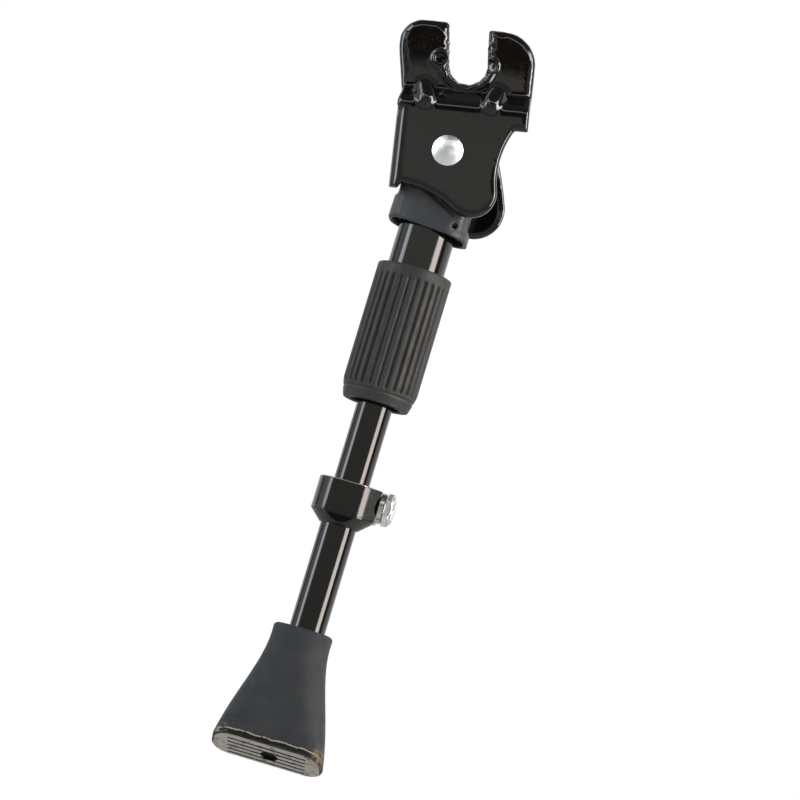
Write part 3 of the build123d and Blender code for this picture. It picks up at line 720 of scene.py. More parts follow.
def capped_grid(name: str, points: np.ndarray) -> bpy.types.Mesh:
    """Make a mesh from a grid that closes round its columns and has a face over its first and last row.

    Args:
        name: The mesh's name.
        points: Array of rows, columns and three coordinates.

    Returns:
        The mesh, with its normals outwards.
    """
    rows, columns = points.shape[:2]
    index = np.arange(rows * columns).reshape(rows, columns)
    right = np.roll(index, -1, axis=1)
    faces = np.stack([index[:-1], index[1:], right[1:], right[:-1]], axis=-1).reshape(-1, 4).tolist()
    mesh = bpy.data.meshes.new(name)
    mesh.from_pydata(points.reshape(-1, 3).tolist(), [], faces + [index[0].tolist(), index[-1].tolist()])
    work = bmesh.new()
    work.from_mesh(mesh)
    bmesh.ops.recalc_face_normals(work, faces=work.faces)
    work.to_mesh(mesh)
    work.free()
    return mesh


@dataclass
class Coat:
    """A soft skin over a CAD piece: its mesh refined into small even squares and relaxed.

    This rounds the edges as paint does. The relaxing moves every point half way to the mean of its
    neighbours, a set number of times.
    """

    node: str
    cell: float
    rounds: int
    points: np.ndarray = field(init=False)
    edges: np.ndarray = field(init=False)
    mesh: bpy.types.Mesh = field(init=False)

    def __post_init__(self) -> None:
        """Refine and relax the node's mesh."""
        self.mesh = self.refined()
        self.points = np.empty(len(self.mesh.vertices) * 3)
        self.mesh.vertices.foreach_get("co", self.points)
        self.points = self.points.reshape(-1, 3)
        self.edges = np.empty(len(self.mesh.edges) * 2, dtype=np.int64)
        self.mesh.edges.foreach_get("vertices", self.edges)
        self.edges = self.edges.reshape(-1, 2)
        self.relax(self.rounds, np.ones(len(self.points)))

    def relax(self, rounds: int, share: np.ndarray) -> None:
        """Move the points towards the mean of their neighbours.

        Args:
            rounds: How many times.
            share: Weight of each point, where 1 moves it half way.
        """
        for _ in range(rounds):
            self.points = self.points + 0.5 * share[:, None] * (self.around(self.points) - self.points)

    def refined(self) -> bpy.types.Mesh:
        """Merge a copy of the node's mesh and rebuild it from even cells.

        Returns:
            The refined mesh.
        """
        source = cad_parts[self.node].data
        copy = bpy.data.meshes.new("raw")
        work = bmesh.new()
        work.from_mesh(source)
        bmesh.ops.remove_doubles(work, verts=work.verts, dist=TINY)
        work.to_mesh(copy)
        work.free()
        carrier = bpy.data.objects.new("raw", copy)
        bpy.context.scene.collection.objects.link(carrier)
        grid = carrier.modifiers.new("grid", "REMESH")
        grid.mode = "VOXEL"
        grid.voxel_size = self.cell
        solved = carrier.evaluated_get(bpy.context.evaluated_depsgraph_get())
        mesh = bpy.data.meshes.new_from_object(solved)
        bpy.data.objects.remove(carrier)
        bpy.data.meshes.remove(copy)
        return mesh

    def around(self, values: np.ndarray) -> np.ndarray:
        """Mean of each point's neighbours.

        Args:
            values: One row per point.

        Returns:
            The means, one row per point.
        """
        size = len(values)
        first, second = self.edges.T
        count = np.bincount(self.edges.ravel(), minlength=size)
        columns = [np.bincount(first, column[second], size) + np.bincount(second, column[first], size)
                   for column in values.T]
        return np.column_stack(columns) / count[:, None]

    def along(self, start: np.ndarray, reach: float) -> np.ndarray:
        """Distance along the mesh's edges from a set of points.

        Each sweep hands the distances on to the next points, with three sweeps for every cell of the reach.

        Args:
            start: Mask of the points at distance nothing.
            reach: Distance beyond which the value doesn't matter.

        Returns:
            The distance of each point, or twice the reach where it is farther.
        """
        first, second = self.edges.T
        length = np.linalg.norm(self.points[first] - self.points[second], axis=1)
        result = np.where(start, 0.0, 2 * reach)
        for _ in range(int(3 * reach / self.cell)):
            np.minimum.at(result, first, result[second] + length)
            np.minimum.at(result, second, result[first] + length)
        return result

    def normals(self) -> np.ndarray:
        """Work out the outward normals of the present points.

        Returns:
            The normals, one row per point.
        """
        result = np.empty(self.points.size)
        self.finish().vertex_normals.foreach_get("vector", result)
        return result.reshape(-1, 3)

    def finish(self) -> bpy.types.Mesh:
        """Write the points back into the mesh.

        Returns:
            The mesh.
        """
        self.mesh.vertices.foreach_set("co", self.points.ravel())
        self.mesh.update()
        return self.mesh


@dataclass
class AxleBracket:
    """The folded bracket with its rivet, sleeve and washers.

    A point counts as back or wall by its normal's part along the depth (back_turn, wall_turn). A nick is its
    place, reach and depth.
    """

    paint: Enamel = Enamel(roughness=0.07, lump_scale=200.0, lump_depth=0.000004, rough_level=-7.0 * MM,
                           rough_depth=0.000013, specks=0.05)
    bright: Steel = Steel((0.80, 0.815, 0.83), 0.36)
    plain: Steel = Steel((0.46, 0.46, 0.47), 0.38)
    cell: float = 0.28 * MM
    rounds: int = 5
    back_turn: float = 0.3
    wall_turn: float = 0.35
    wall: float = 1.8 * MM
    hook_level: float = -10.0 * MM
    hook_blend: float = 3.0 * MM
    rim: float = 2.3 * MM
    drop: float = 0.95 * MM
    cheek_rim: float = 1.3 * MM
    cheek_drop: float = 0.45 * MM
    waves: Tuple[Tuple[float, float, float], ...] = (
        (1700.0, 1100.0, 1300.0), (-1300.0, 1900.0, 2100.0), (700.0, -1500.0, 2900.0))
    lump: float = 0.30 * MM
    slot_half: float = 6.4 * MM
    run_reach: float = 3.2 * MM
    run_least: float = 0.15
    pivot: Tuple[float, float] = (1.9034 * MM, -25.88 * MM)
    rivet_ring: float = 5.5 * MM
    lean: float = math.radians(10.4)
    crown: float = 1.6
    crown_level: float = 24.6 * MM
    crown_start: float = 17.5 * MM
    crown_blend: float = 2.0 * MM
    nicks: Tuple[Tuple[float, float, float, float], ...] = (
        (-8.5 * MM, 10.5 * MM, 3.6 * MM, 1.0 * MM), (2.4 * MM, 11.8 * MM, 2.6 * MM, 0.7 * MM))
    ribs: Tuple[Tuple[float, float], ...] = ((-8.8 * MM, -12.1 * MM), (10.0 * MM, -8.7 * MM))
    rib_reach: float = 5.0 * MM
    rib_rounds: int = 22

    def build(self) -> None:
        """Build the painted bracket and dress its other pieces."""
        place_piece("bracket_skin", self.skin(), self.paint.material("bracket_enamel"), Body.BRACKET,
                    "bracket")
        dress(self.bright.material("rivet_steel"), "pivot_rivet")
        dress(self.plain.material("sleeve_steel"), "pivot_sleeve", "front_washer", "rear_washer")

    def skin(self) -> bpy.types.Mesh:
        """Coat the bracket: relaxed edges, faces that fall off towards their rim, and runs of paint.

        Round the gusset ribs the coat is relaxed further, in full to half their reach and then fading.

        Returns:
            The bracket's mesh.
        """
        coat = Coat("bracket", self.cell, self.rounds)
        apart = [np.hypot(coat.points[:, 0] - x, coat.points[:, 2] - z) for x, z in self.ribs]
        coat.relax(self.rib_rounds, np.clip(2.0 - 2.0 * np.min(apart, axis=0) / self.rib_reach, 0.0, 1.0))
        normals = coat.normals()
        away = coat.along(normals[:, 1] > self.back_turn, self.wall)
        hook = np.clip((coat.points[:, 2] - self.hook_level) / self.hook_blend, 0.0, 1.0)
        share = self.drop_share(coat, normals, away, hook)
        runs = hook * self.run_heights(coat.points, np.sqrt(share))
        drop = self.cheek_drop + (self.drop - self.cheek_drop) * hook
        facing = np.clip(away / self.wall, 0.0, 1.0)
        coat.points[:, 1] += drop * share + self.dips(coat.points) * facing
        coat.points += normals * runs[:, None]
        return coat.finish()

    def drop_share(self, coat: Coat, normals: np.ndarray, away: np.ndarray, hook: np.ndarray) -> np.ndarray:
        """Work out how much of the drop each point takes.

        The walls are the points that turn sideways and lie near the back along the surface. A front point
        takes the square of one less its distance from the nearest wall over the rim's width. A wall point
        takes a share that grows from the back to the front.

        Args:
            coat: The bracket's coat.
            normals: Its outward normals.
            away: Distance of each point from the back.
            hook: 1 on the hook plate and 0 on the cheeks.

        Returns:
            Shares from 0 to 1, one per point.
        """
        off_pivot = np.hypot(coat.points[:, 0] - self.pivot[0], coat.points[:, 2] - self.pivot[1])
        wall = (np.abs(normals[:, 1]) < self.wall_turn) & (away < self.wall) & (off_pivot > self.rivet_ring)
        front = (normals[:, 1] < 0.0) & ~wall
        rim = self.cheek_rim + (self.rim - self.cheek_rim) * hook
        share = np.zeros(len(away))
        inward = nearest(coat.points[front], coat.points[wall]) - self.cell
        share[front] = np.clip(1.0 - inward / rim[front], 0.0, 1.0) ** 2
        share[wall] = np.clip(away[wall] / self.wall, 0.0, 1.0)
        return coat.around(coat.around(share[:, None]))[:, 0]

    def run_heights(self, points: np.ndarray, rim: np.ndarray) -> np.ndarray:
        """Work out the height of the paint's runs: crossed sine waves, faded away from the rim and the slot.

        Args:
            points: The coat's points.
            rim: 1 at the rim, falling to 0 on the face.

        Returns:
            Heights along the normals, one per point.
        """
        waves = sum(np.sin(points @ np.array(way)) for way in self.waves) / len(self.waves)
        slot = np.clip(1.0 - (np.abs(points[:, 0]) - self.slot_half) / self.run_reach, self.run_least, 1.0)
        return rim * slot * self.lump * (waves - rim)

    def dips(self, points: np.ndarray) -> np.ndarray:
        """Work out how far the hook's faces lie back.

        A nick in a prong's top is a cone. The crown is the square of the distance from its level, measured
        from the pivot along the leaning bracket.

        Args:
            points: The coat's points.

        Returns:
            Depths, one per point.
        """
        side, up = points[:, 0] - self.pivot[0], points[:, 2] - self.pivot[1]
        rise = up * math.cos(self.lean) - side * math.sin(self.lean)
        start = np.clip((rise - self.crown_start) / self.crown_blend, 0.0, 1.0)
        nicks = sum(depth * np.clip(1.0 - np.hypot(points[:, 0] - x, points[:, 2] - z) / reach, 0.0, 1.0)
                    for x, z, reach, depth in self.nicks)
        return nicks + self.crown * (rise - self.crown_level) ** 2 * start


@dataclass
class RibbedGrip:
    """Sizes of the rubber grip and its surface."""

    axis: Tuple[float, float]
    top: float
    end: float
    radius: float = 10.5 * MM
    bore: float = 8.0 * MM
    lip_bore: float = 7.0 * MM
    lip: float = 1.3 * MM
    taper: float = 5.5 * MM
    taper_in: float = 1.2 * MM
    ribs: int = 28
    groove: float = 0.68 * MM
    groove_end: float = 0.5 * MM
    top_band: float = 3.0 * MM
    low_band: float = 3.6 * MM
    ring: float = 2.9 * MM
    ring_width: float = 0.28 * MM
    ring_depth: float = 0.22 * MM
    edge: float = 0.4 * MM
    bevel: float = 0.3 * MM
    lip_bevel: float = 0.2 * MM
    taper_power: float = 1.3
    groove_power: int = 3
    rib_columns: int = 16
    side_rows: int = 130
    taper_rows: int = 40
    edge_rows: int = 7

    def outline(self) -> Tuple[np.ndarray, np.ndarray]:
        """Section of the grip, from the bore's upper end over the outside to the lip and back up the bore.

        Each corner is a quarter turn of a small circle, given by sines and cosines.

        Returns:
            Radii and levels along the section.
        """
        turn = np.linspace(0.0, math.pi / 2, self.edge_rows)
        side = np.linspace(self.top - self.edge, self.end + self.taper, self.side_rows)
        slant = np.linspace(0.0, 1.0, self.taper_rows)[1:]
        foot = self.radius - self.taper_in
        lip = self.end + self.lip
        radii = [[self.bore + self.bevel], self.radius - self.edge + self.edge * np.sin(turn),
                 np.full(side.size, self.radius), self.radius - self.taper_in * slant ** self.taper_power,
                 foot - self.edge + self.edge * np.cos(turn),
                 [self.lip_bore + self.lip_bevel, self.lip_bore, self.lip_bore, self.bore, self.bore]]
        levels = [[self.top], self.top - self.edge + self.edge * np.cos(turn), side,
                  self.end + self.taper + (self.edge - self.taper) * slant,
                  self.end + self.edge - self.edge * np.sin(turn),
                  [self.end, self.end + self.lip_bevel, lip, lip, self.top - self.bevel]]
        return np.concatenate(radii), np.concatenate(levels)

    def mesh(self) -> bpy.types.Mesh:
        """Turn the section round the leg's axis and press the grooves in.

        The radius loses the groove's depth times a power of a raised cosine of the ribs' number times the
        angle, faded to nothing at the bands at both ends. A narrow bell curve over the level presses the ring
        above the lower end.

        Returns:
            The grip's mesh.
        """
        radii, levels = self.outline()
        angles = np.linspace(0.0, 2 * math.pi, self.ribs * self.rib_columns, endpoint=False)
        outside = radii > self.radius - self.taper_in - self.edge
        fade = np.clip((self.top - self.top_band - levels) / self.groove_end, 0, 1)
        fade *= np.clip((levels - self.end - self.low_band) / (2 * self.groove_end), 0, 1) * outside
        fade = fade * fade * (3 - 2 * fade)
        ring = outside * np.exp(-((levels - self.end - self.ring) / self.ring_width) ** 2)
        press = (0.5 + 0.5 * np.cos(self.ribs * angles)) ** self.groove_power
        reach = (radii - self.ring_depth * ring)[:, None] - self.groove * fade[:, None] * press[None, :]
        x = self.axis[0] + reach * np.cos(angles)[None, :]
        y = self.axis[1] + reach * np.sin(angles)[None, :]
        z = np.repeat(levels[:, None], angles.size, axis=1)
        return closed_grid("grip", np.stack([x, y, z], axis=-1))


HIDDEN_STEEL = Steel((0.44, 0.44, 0.45), 0.36)
HIDDEN_PLASTIC = Moulded((0.012, 0.012, 0.012), (0.018, 0.018, 0.018), 0.5)


@dataclass
class UpperLeg:
    """The swinging head, tube and grip with the works inside."""

    paint: Enamel = Enamel()
    head: Moulded = Moulded((0.038, 0.0415, 0.047), (0.050, 0.0535, 0.059), 0.5, 0.4)
    rubber: Moulded = Moulded((0.028, 0.0283, 0.028), (0.036, 0.036, 0.035), 0.6)
    head_cell: float = 0.30 * MM
    head_rounds: int = 5

    def build(self) -> None:
        """Build the head's skin and the grip and dress the other pieces."""
        dress(self.paint.material("tube_enamel"), "upper_tube")
        head = Coat("leg_head", self.head_cell, self.head_rounds)
        place_piece("head_skin", head.finish(), self.head.material("head_plastic"), Body.UPPER_LEG,
                    "leg_head")
        low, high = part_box("rubber_grip")
        grip = RibbedGrip(((low[0] + high[0]) / 2, (low[1] + high[1]) / 2), high[2], low[2])
        place_piece("grip_ribs", grip.mesh(), self.rubber.material("grip_rubber"), Body.UPPER_LEG,
                    "rubber_grip")
        dress(HIDDEN_STEEL.material("spring_steel"), "leg_spring", "detent_plunger")
        dress(HIDDEN_PLASTIC.material("bush_plastic"), "guide_bush")


@dataclass
class LowerLeg:
    """The telescoping rod with its cap, pin, foot and washer."""

    paint: Enamel = Enamel()
    rubber: UsedRubber = UsedRubber((0.0385, 0.0415, 0.0455), (0.0475, 0.050, 0.0535), 0.68, 0.2)

    def build(self) -> None:
        """Dress the lower leg's pieces."""
        dress(self.paint.material("rod_enamel"), "leg_rod")
        dress(HIDDEN_PLASTIC.material("cap_plastic"), "rod_cap")
        dress(HIDDEN_STEEL.material("pin_steel"), "guide_pin", "foot_washer")
        dress(self.rubber.material("foot_rubber"), "rubber_foot")


@dataclass
class CollarBody:
    """Sizes of the stop collar and its surface.

    The run sizes shape the ends of the flats. The hollow sizes and the sizes of the edge mark, a painted
    highlight on the front of the top edge and at the boss's corner, give the marks for the paint.
    """

    axis: Tuple[float, float]
    top: float
    end: float
    rod: float
    wall: float = 3.8 * MM
    play: float = 0.06 * MM
    cone: float = 3.1 * MM
    cone_wall: float = 0.36 * MM
    flat: float = 8.2 * MM
    boss_seat: float = 4.4 * MM
    boss_width: float = 6.0 * MM
    edge: float = 0.35 * MM
    blunt: float = 0.10 * MM
    run_soft: float = 0.5 * MM
    run_depth: float = 3.1 * MM
    run_fall: float = 3.3 * MM
    hollow_run: float = 0.7 * MM
    hollow_edge: float = 0.12 * MM
    # where the painted highlight on the top edge begins towards the front, and how fast it grows
    worn_start: float = 0.5
    worn_blend: float = 0.25
    corner_width: float = 0.022
    corner_share: float = 0.8
    columns: int = 480
    edge_rows: int = 6
    side_rows: int = 44
    cone_rows: int = 26

    def lesser(self, first: np.ndarray, second: np.ndarray) -> np.ndarray:
        """Lesser of two radii, with the corner between them blunted by a sum of falling powers."""
        return -self.blunt * np.logaddexp(-first / self.blunt, -second / self.blunt)

    def section(self) -> Tuple[np.ndarray, np.ndarray, np.ndarray, np.ndarray]:
        """Rows of the outside, from the top edge down to the cone's end.

        Returns:
            Columns of levels, losses of radius at the top edge, shares of the boss and shares of the painted
            highlight across the top edge.
        """
        foot = self.end + self.cone
        turn = np.linspace(0.0, math.pi / 2, self.edge_rows)
        side = np.linspace(self.top - self.edge, foot + self.edge, self.side_rows)
        taper = np.linspace(foot, self.end, self.cone_rows)
        below = np.zeros(side.size + turn.size + taper.size)
        levels = [self.top - self.edge * (1 - np.cos(turn)), side, foot + self.edge * (1 - np.sin(turn)),
                  taper]
        boss = [np.ones(turn.size + side.size), np.cos(turn), np.zeros(taper.size)]
        columns = (levels, [self.edge * (1 - np.sin(turn)), below], boss, [np.sin(2 * turn), below])
        return tuple(np.concatenate(column)[:, None] for column in columns)

    def mesh(self) -> bpy.types.Mesh:
        """Turn the section round the rod's axis, with flats, cone and boss as limits of the radius.

        A flat limits the radius to its distance over the sine of the angle, and below the cone's edge that
        distance falls off by an exponential curve. The boss raises the radius to the lesser of its reach over
        the cosine and of two lines from its corners that touch the circle, each the radius over the cosine of
        the angle from where it touches. Two attributes mark the edges that get a painted highlight of pale
        metal, on the front of the top edge and at the boss's front corner, by bell curves over edge and
        angle, and the dark ends of the flats.

        Returns:
            The collar's mesh.
        """
        levels, inset, boss, rim = self.section()
        angles = np.linspace(0.0, 2 * math.pi, self.columns, endpoint=False)[None, :]
        sine, cosine = np.sin(angles), np.cos(angles)
        around = np.arctan2(np.abs(sine), cosine)
        radius, bore, foot = self.rod + self.wall, self.rod + self.play, self.end + self.cone
        slope = (radius - bore - self.cone_wall) / self.cone
        turned = np.repeat(radius - np.maximum(foot - levels, 0.0) * slope, self.columns, axis=1)
        under = (foot - levels + np.hypot(foot - levels, self.run_soft)) / 2
        run = self.run_depth * (1.0 - np.exp(-under / self.run_fall))
        flat = (math.sqrt(radius ** 2 - (self.flat / 2) ** 2) - run) / np.maximum(np.abs(sine), TINY)
        body = self.lesser(turned, flat)
        seat, half = self.rod + self.boss_seat, self.boss_width / 2
        touch = math.atan2(half, seat) + math.acos(radius / math.hypot(seat, half))
        sides = radius / np.maximum(np.cos(around - touch), TINY)
        block = self.lesser(seat / np.maximum(cosine, TINY), sides)
        reach = body + boss * np.maximum(np.where(around < touch, block, 0.0) - body, 0.0) - inset
        inner = np.full((3, self.columns), bore)
        reach = np.concatenate([inner[:1] + self.edge / 2, reach, inner])
        inside = [[self.end], [(self.top + self.end) / 2], [self.top - self.edge / 2]]
        z = np.repeat(np.concatenate([[[self.top]], levels, inside]), self.columns, axis=1)
        points = np.stack([self.axis[0] + reach * cosine, self.axis[1] + reach * sine, z], axis=-1)
        mesh = closed_grid("collar", points)
        # painted highlight: pale metal on the front of the top edge and at the boss's front corner, where the
        # light catches them
        glint = rim * np.clip((-sine - self.worn_start) / self.worn_blend, 0.0, 1.0)
        corner = np.exp(-((around - math.atan2(half, seat)) / self.corner_width) ** 2) * (sine < 0)
        hollow = np.clip(run / self.hollow_run, 0.0, 1.0)
        hollow = hollow * np.clip((turned - flat) / self.hollow_edge, 0.0, 1.0)
        marks = {"glint": np.maximum(glint, self.corner_share * boss * corner), "hollow": hollow}
        for name, values in marks.items():
            mark = mesh.attributes.new(name, "FLOAT", "POINT")
            mark.data.foreach_set("value", np.pad(values, ((1, 3), (0, 0))).ravel())
        return mesh


@dataclass
class BoltHead:
    """Sizes of the hexagon bolt and its surface."""

    axis: Tuple[float, float]
    tip: float
    seat: float
    top: float
    shank: float = 2.5 * MM
    flats: float = 8.0 * MM
    face: float = 3.8 * MM
    face_rise: float = 0.3 * MM
    crown: float = 3.5 * MM
    dome: float = 0.6 * MM
    dome_turn: float = 0.47 * math.pi
    chamfer: float = 0.9 * MM
    columns: int = 120
    side_rows: int = 8
    chamfer_rows: int = 7
    dome_rows: int = 9

    def mesh(self) -> bpy.types.Mesh:
        """Turn the section round the bolt's axis and keep it inside a hexagon.

        The hexagon's radius is half its width over flats, over the cosine of the angle from the nearest
        flat's middle. Each row of the section limits that radius, and the dome is most of a quarter turn of
        an ellipse.

        Returns:
            The bolt's mesh.
        """
        angles = np.linspace(0.0, 2 * math.pi, self.columns, endpoint=False)
        hexagon = self.flats / 2 / np.cos(angles % (math.pi / 3) - math.pi / 6)
        turn = np.linspace(0.0, self.dome_turn, self.dome_rows)
        slant = np.linspace(0.0, 1.0, self.chamfer_rows)
        corner, shoulder, foot = hexagon.max(), self.top - self.dome, self.seat + self.face_rise
        sides = np.linspace(foot, shoulder - self.chamfer, self.side_rows)
        stations = np.concatenate([[self.tip, self.seat, self.seat, foot], sides,
                                   shoulder - self.chamfer * (1 - slant),
                                   shoulder + self.dome * np.sin(turn)])
        limits = np.concatenate([[self.shank, self.shank, self.face, self.face], np.full(sides.size, corner),
                                 corner + (self.crown - corner) * slant, self.crown * np.cos(turn)])
        radius = np.minimum(limits[:, None], hexagon[None, :])
        x = np.repeat(stations[:, None], self.columns, axis=1)
        y = self.axis[0] - radius * np.sin(angles)[None, :]
        z = self.axis[1] + radius * np.cos(angles)[None, :]
        return capped_grid("bolt", np.stack([x, y, z], axis=-1))


@dataclass
class StopCollar:
    """The collar on the rod with its bolt and washer."""

    # marked: the collar's edge marks give a painted highlight
    paint: Enamel = Enamel(roughness=0.17, specks=0.03, cloud=(0.95, 1.1), marked=True)
    bright: Steel = Steel((0.84, 0.84, 0.83), 0.14)
    plain: Steel = Steel((0.55, 0.55, 0.54), 0.24)

    def build(self) -> None:
        """Build the collar's body and its bolt and dress the washer."""
        low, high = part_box("stop_collar")
        rod_low, rod_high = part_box("leg_rod")
        axis = ((rod_low[0] + rod_high[0]) / 2, (rod_low[1] + rod_high[1]) / 2)
        collar = CollarBody(axis, high[2], low[2], (rod_high[0] - rod_low[0]) / 2)
        place_piece("collar_body", collar.mesh(), self.paint.material("collar_enamel"),
                    Body.STOP_COLLAR, "stop_collar")
        low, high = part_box("clamp_bolt")
        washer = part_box("lock_washer")
        bolt = BoltHead(((low[1] + high[1]) / 2, (low[2] + high[2]) / 2), low[0], washer[1][0], high[0])
        place_piece("clamp_bolt_domed", bolt.mesh(), self.bright.material("bolt_steel"),
                    Body.STOP_COLLAR, "clamp_bolt")
        dress(self.plain.material("lock_washer_steel"), "lock_washer")


@dataclass(frozen=True)
class Panel:
    """A patch of the surroundings that only reflections show: its angles, its heights and its light."""

    turns: Tuple[float, float]
    turn_soft: float
    heights: Tuple[float, float]
    height_soft: float
    light: Colour

    def over(self, sheet: Sheet, tent: Socket, turn: Socket, height: Socket, glossy: Socket) -> Socket:
        """Lay the panel over the surroundings.

        Args:
            sheet: The world's sheet.
            tent: Colour of the surroundings so far.
            turn: Angle from the front, positive to the right, in degrees.
            height: Upward part of the direction.
            glossy: Mask of the rays that reflections send out.

        Returns:
            The new colour's socket.
        """
        inside = sheet.times(glossy, sheet.band(height, *self.heights, self.height_soft),
                             sheet.band(turn, *self.turns, self.turn_soft))
        return sheet.blend(inside, tent, self.light)


@dataclass(frozen=True)
class StripLamp:
    """An upright lamp: its angle to the right of the camera in degrees, width, power in watts and colour."""

    name: str
    side: float
    width: float
    power: float
    colour: Colour


@dataclass
class Studio:
    """Floor, surroundings, two strip lamps and the camera.

    Turns are angles from the front in degrees, positive to the right, and heights the upward part of a
    direction. A range with two numbers fades from the first to the second. A third is a band's softness.
    """

    azimuth: float = 4.770
    elevation: float = -6.943
    roll: float = 16.754
    distance: float = 0.91498
    focal: float = 3336.28
    frame_size: float = 800.0
    sensor: float = 36.0
    near: float = 0.01
    target: Tuple[float, float, float] = (0.00809, 0.006, -0.09394)
    floor_level: float = -0.55
    floor_half: float = 3.0
    floor_colour: Colour = (0.86, 0.86, 0.85)
    floor_roughness: float = 0.9
    lamps: Tuple[StripLamp, ...] = (StripLamp("cool_strip", -74.0, 0.34, 4.0, (0.86, 0.93, 1.0)),
                                    StripLamp("warm_strip", 66.0, 0.42, 8.0, (1.0, 0.965, 0.93)))
    strip_distance: float = 1.1
    strip_height: float = 0.72
    strip_lift: float = 0.19
    wall_rise: Tuple[float, float] = (0.10, 0.19)
    wall_light: Tuple[float, float] = (0.42, 0.78)
    wall_tint: Tuple[float, float] = (1.01, 0.93)
    wall_top: Tuple[float, float] = (0.2155, 0.2215)
    upper_wall: Colour = (0.05, 0.042, 0.038)
    lamp_row: Tuple[float, float, float] = (0.60, 0.70, 0.03)
    lamp_light: Colour = (2.2, 2.2, 2.2)
    side_turns: Tuple[float, float] = (52.0, 60.0)
    side_light: Colour = (0.36, 0.36, 0.36)
    pale_side: Tuple[float, float, float] = (-104.0, -84.0, 3.0)
    pale_light: Colour = (0.9, 0.93, 0.97)
    right_gap: Tuple[float, float, float] = (87.0, 100.0, 4.0)
    left_gap: Tuple[float, float, float] = (-118.0, -108.0, 3.0)
    gap_light: Colour = (0.14, 0.14, 0.14)
    backdrop_turns: Tuple[float, float] = (102.0, 108.0)
    backdrop_light: Colour = (0.8, 0.8, 0.8)
    backdrop_seen: Colour = (1.0, 1.0, 1.0)
    ceiling: Tuple[float, float] = (0.74, 0.80)
    sheens: Tuple[Panel, ...] = (Panel((-64.0, -26.0), 4.0, (0.213, 0.40), 0.006, (1.2, 1.24, 1.28)),
                                 Panel((28.0, 57.0), 4.0, (0.213, 0.40), 0.006, (0.5, 0.48, 0.46)))
    keys: Tuple[Panel, ...] = (Panel((38.0, 58.0), 3.0, (0.52, 0.68), 0.02, (12.0, 11.7, 11.4)),
                               Panel((-58.0, -42.0), 3.0, (0.50, 0.64), 0.02, (7.0, 7.2, 7.5)))
    strong_rise: Tuple[float, float] = (0.20, 0.215)
    right_side: Tuple[float, float, float] = (57.0, 78.0, 2.0)
    right_change: Tuple[float, float] = (60.0, 65.0)
    right_lights: Tuple[Colour, Colour, Colour] = ((6.8, 6.55, 6.3), (5.0, 3.6, 2.7), (13.0, 12.5, 12.0))
    left_side: Tuple[float, float, float] = (-77.0, -70.0, 8.0)
    left_lights: Tuple[Colour, Colour] = ((1.8, 1.95, 2.1), (4.0, 4.3, 4.6))

    def build(self) -> None:
        """Make the whole studio."""
        bpy.context.scene.view_settings.view_transform = "Standard"
        self.surroundings()
        self.floor()
        for lamp in self.lamps:
            self.strip(lamp)
        self.camera()

    def camera(self) -> None:
        """Place the camera: look along the view direction, then turn it by the roll about that direction."""
        azimuth, elevation, roll = (math.radians(v) for v in (self.azimuth, self.elevation, self.roll))
        ahead = Vector((-math.sin(azimuth) * math.cos(elevation), math.cos(azimuth) * math.cos(elevation),
                        -math.sin(elevation)))
        level = Vector((math.cos(azimuth), math.sin(azimuth), 0.0))
        upright = level.cross(ahead)
        right = level * math.cos(roll) + upright * math.sin(roll)
        up = upright * math.cos(roll) - level * math.sin(roll)
        data = bpy.data.cameras.new("camera")
        data.sensor_width = self.sensor
        data.lens = self.focal * self.sensor / self.frame_size
        data.clip_start = self.near
        camera = bpy.data.objects.new("camera", data)
        bpy.context.scene.collection.objects.link(camera)
        turn = Matrix((right, up, -ahead)).transposed().to_4x4()
        camera.matrix_world = Matrix.Translation(Vector(self.target) - ahead * self.distance) @ turn
        bpy.context.scene.camera = camera

    def strip(self, lamp: StripLamp) -> None:
        """Add a strip lamp that faces the leg.

        Args:
            lamp: Its angle, width, power and colour.
        """
        angle = math.radians(self.azimuth + lamp.side)
        data = bpy.data.lights.new(lamp.name, "AREA")
        data.shape = "RECTANGLE"
        data.size = lamp.width
        data.size_y = self.strip_height
        data.energy = lamp.power
        data.color = lamp.colour
        strip = bpy.data.objects.new(lamp.name, data)
        bpy.context.scene.collection.objects.link(strip)
        away = Vector((math.sin(angle), -math.cos(angle), 0.0))
        lift = Vector((0.0, 0.0, self.strip_lift))
        strip.location = Vector(self.target) + away * self.strip_distance + lift
        strip.rotation_euler = away.to_track_quat("Z", "Y").to_euler()

    def surroundings(self) -> None:
        """Make the world: a white backdrop that the camera and reflections see, and a dim studio in front."""
        world = bpy.data.worlds.new("light_tent")
        bpy.context.scene.world = world
        world.use_nodes = True
        world.node_tree.nodes.clear()
        sheet = Sheet(world.node_tree)
        x, y, height = sheet.parts(sheet.add("ShaderNodeTexCoord").outputs["Generated"])
        turn = sheet.times(sheet.maths("ARCTAN2", x, sheet.times(y, -1.0)), math.degrees(1.0))
        path = sheet.add("ShaderNodeLightPath")
        glossy = path.outputs["Is Glossy Ray"]
        low = sheet.span(height, *self.ceiling, 1.0, 0.0)
        dark = sheet.maths("MAXIMUM", sheet.band(turn, *self.right_gap), sheet.band(turn, *self.left_gap))
        behind = sheet.times(sheet.span(sheet.maths("ABSOLUTE", turn), *self.backdrop_turns),
                             sheet.maths("SUBTRACT", 1.0, dark), low)
        tent = self.walls(sheet, turn, height)
        for panel in self.sheens:
            tent = panel.over(sheet, tent, turn, height, glossy)
        tent = sheet.blend(behind, sheet.blend(dark, tent, self.gap_light), self.backdrop_light)
        tent = sheet.blend(low, self.gap_light, tent)
        tent = self.sides(sheet, tent, turn, height, sheet.times(glossy, low))
        for panel in self.keys:
            tent = panel.over(sheet, tent, turn, height, glossy)
        seen = sheet.maths("MAXIMUM", path.outputs["Is Camera Ray"], path.outputs["Is Transmission Ray"])
        seen = sheet.maths("MAXIMUM", seen, sheet.times(glossy, behind))
        tent = sheet.blend(seen, tent, self.backdrop_seen)
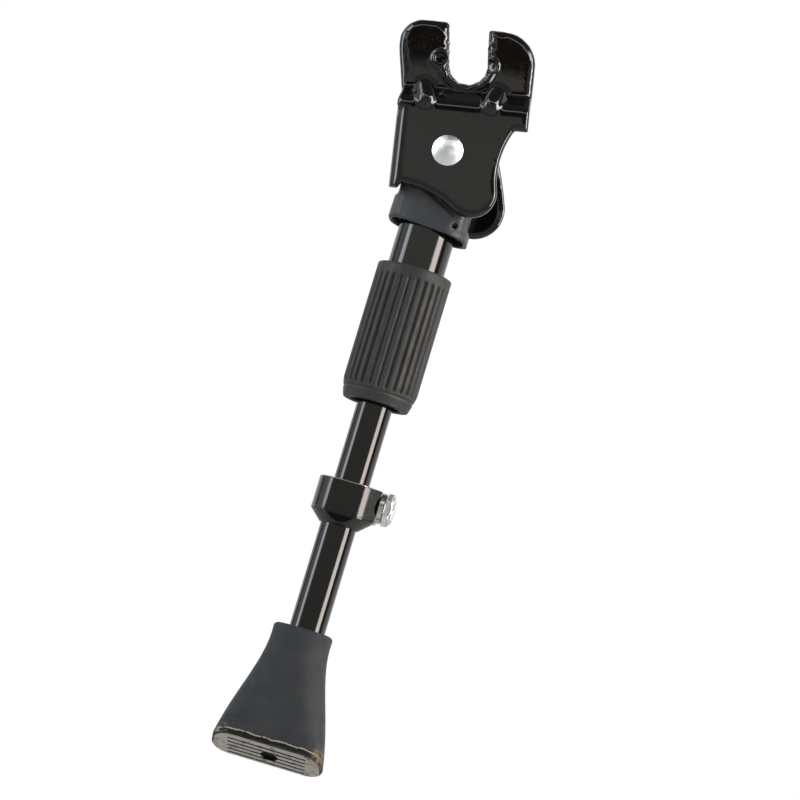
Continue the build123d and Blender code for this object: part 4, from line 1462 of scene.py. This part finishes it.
        back = sheet.add("ShaderNodeBackground", Color=tent, Strength=1.0)
        sheet.add("ShaderNodeOutputWorld", Surface=back.outputs[0])

    def walls(self, sheet: Sheet, turn: Socket, height: Socket) -> Socket:
        """Give the studio's front: a wall that grows lighter upwards, a dark upper wall, lamps and sides.

        Args:
            sheet: The world's sheet.
            turn: Angle from the front.
            height: Upward part of the direction.

        Returns:
            The colour's socket.
        """
        level = sheet.span(height, *self.wall_rise, *self.wall_light)
        green, blue = (sheet.times(level, factor) for factor in self.wall_tint)
        wall = sheet.add("ShaderNodeCombineColor", Red=level, Green=green, Blue=blue).outputs[0]
        tent = sheet.blend(sheet.span(height, *self.wall_top), wall, self.upper_wall)
        tent = sheet.blend(sheet.band(height, *self.lamp_row), tent, self.lamp_light)
        tent = sheet.blend(sheet.span(sheet.maths("ABSOLUTE", turn), *self.side_turns), tent, self.side_light)
        return sheet.blend(sheet.band(turn, *self.pale_side), tent, self.pale_light)

    def sides(self, sheet: Sheet, tent: Socket, turn: Socket, height: Socket, shown: Socket) -> Socket:
        """Lay the tall panels at both sides over the surroundings, stronger where the hook reflects them.

        Args:
            sheet: The world's sheet.
            tent: Colour of the surroundings so far.
            turn: Angle from the front.
            height: Upward part of the direction.
            shown: Mask of the rays that show the panels.

        Returns:
            The new colour's socket.
        """
        strong = sheet.span(height, *self.strong_rise)
        near, far, above = self.right_lights
        right = sheet.blend(strong, sheet.blend(sheet.span(turn, *self.right_change), near, far), above)
        left = sheet.blend(strong, *self.left_lights)
        tent = sheet.blend(sheet.times(shown, sheet.band(turn, *self.right_side)), tent, right)
        return sheet.blend(sheet.times(shown, sheet.band(turn, *self.left_side)), tent, left)

    def floor(self) -> None:
        """Make the pale floor: a level square far below the part."""
        corners = self.floor_half * np.array([[-1, -1], [1, -1], [1, 1], [-1, 1]])
        points = np.column_stack([corners, np.full(len(corners), self.floor_level)])
        mesh = bpy.data.meshes.new("floor")
        mesh.from_pydata(points.tolist(), [], [(0, 1, 2, 3)])
        floor = bpy.data.objects.new("floor", mesh)
        bpy.context.scene.collection.objects.link(floor)
        material, sheet, shader = start_material("floor_white", self.floor_roughness)
        sheet.put(shader, "Base Color", self.floor_colour)
        mesh.materials.append(material)


def main() -> None:
    """Build the sub-assemblies in order, then the studio."""
    logging.basicConfig(level=logging.INFO, format="%(name)s: %(message)s")
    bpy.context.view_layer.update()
    parts: Sequence[SubAssembly] = (AxleBracket(), UpperLeg(), LowerLeg(), StopCollar(), Studio())
    for part in parts:
        part.build()
        LOG.info("built %s", type(part).__name__)


if __name__ == "__main__":
    main()
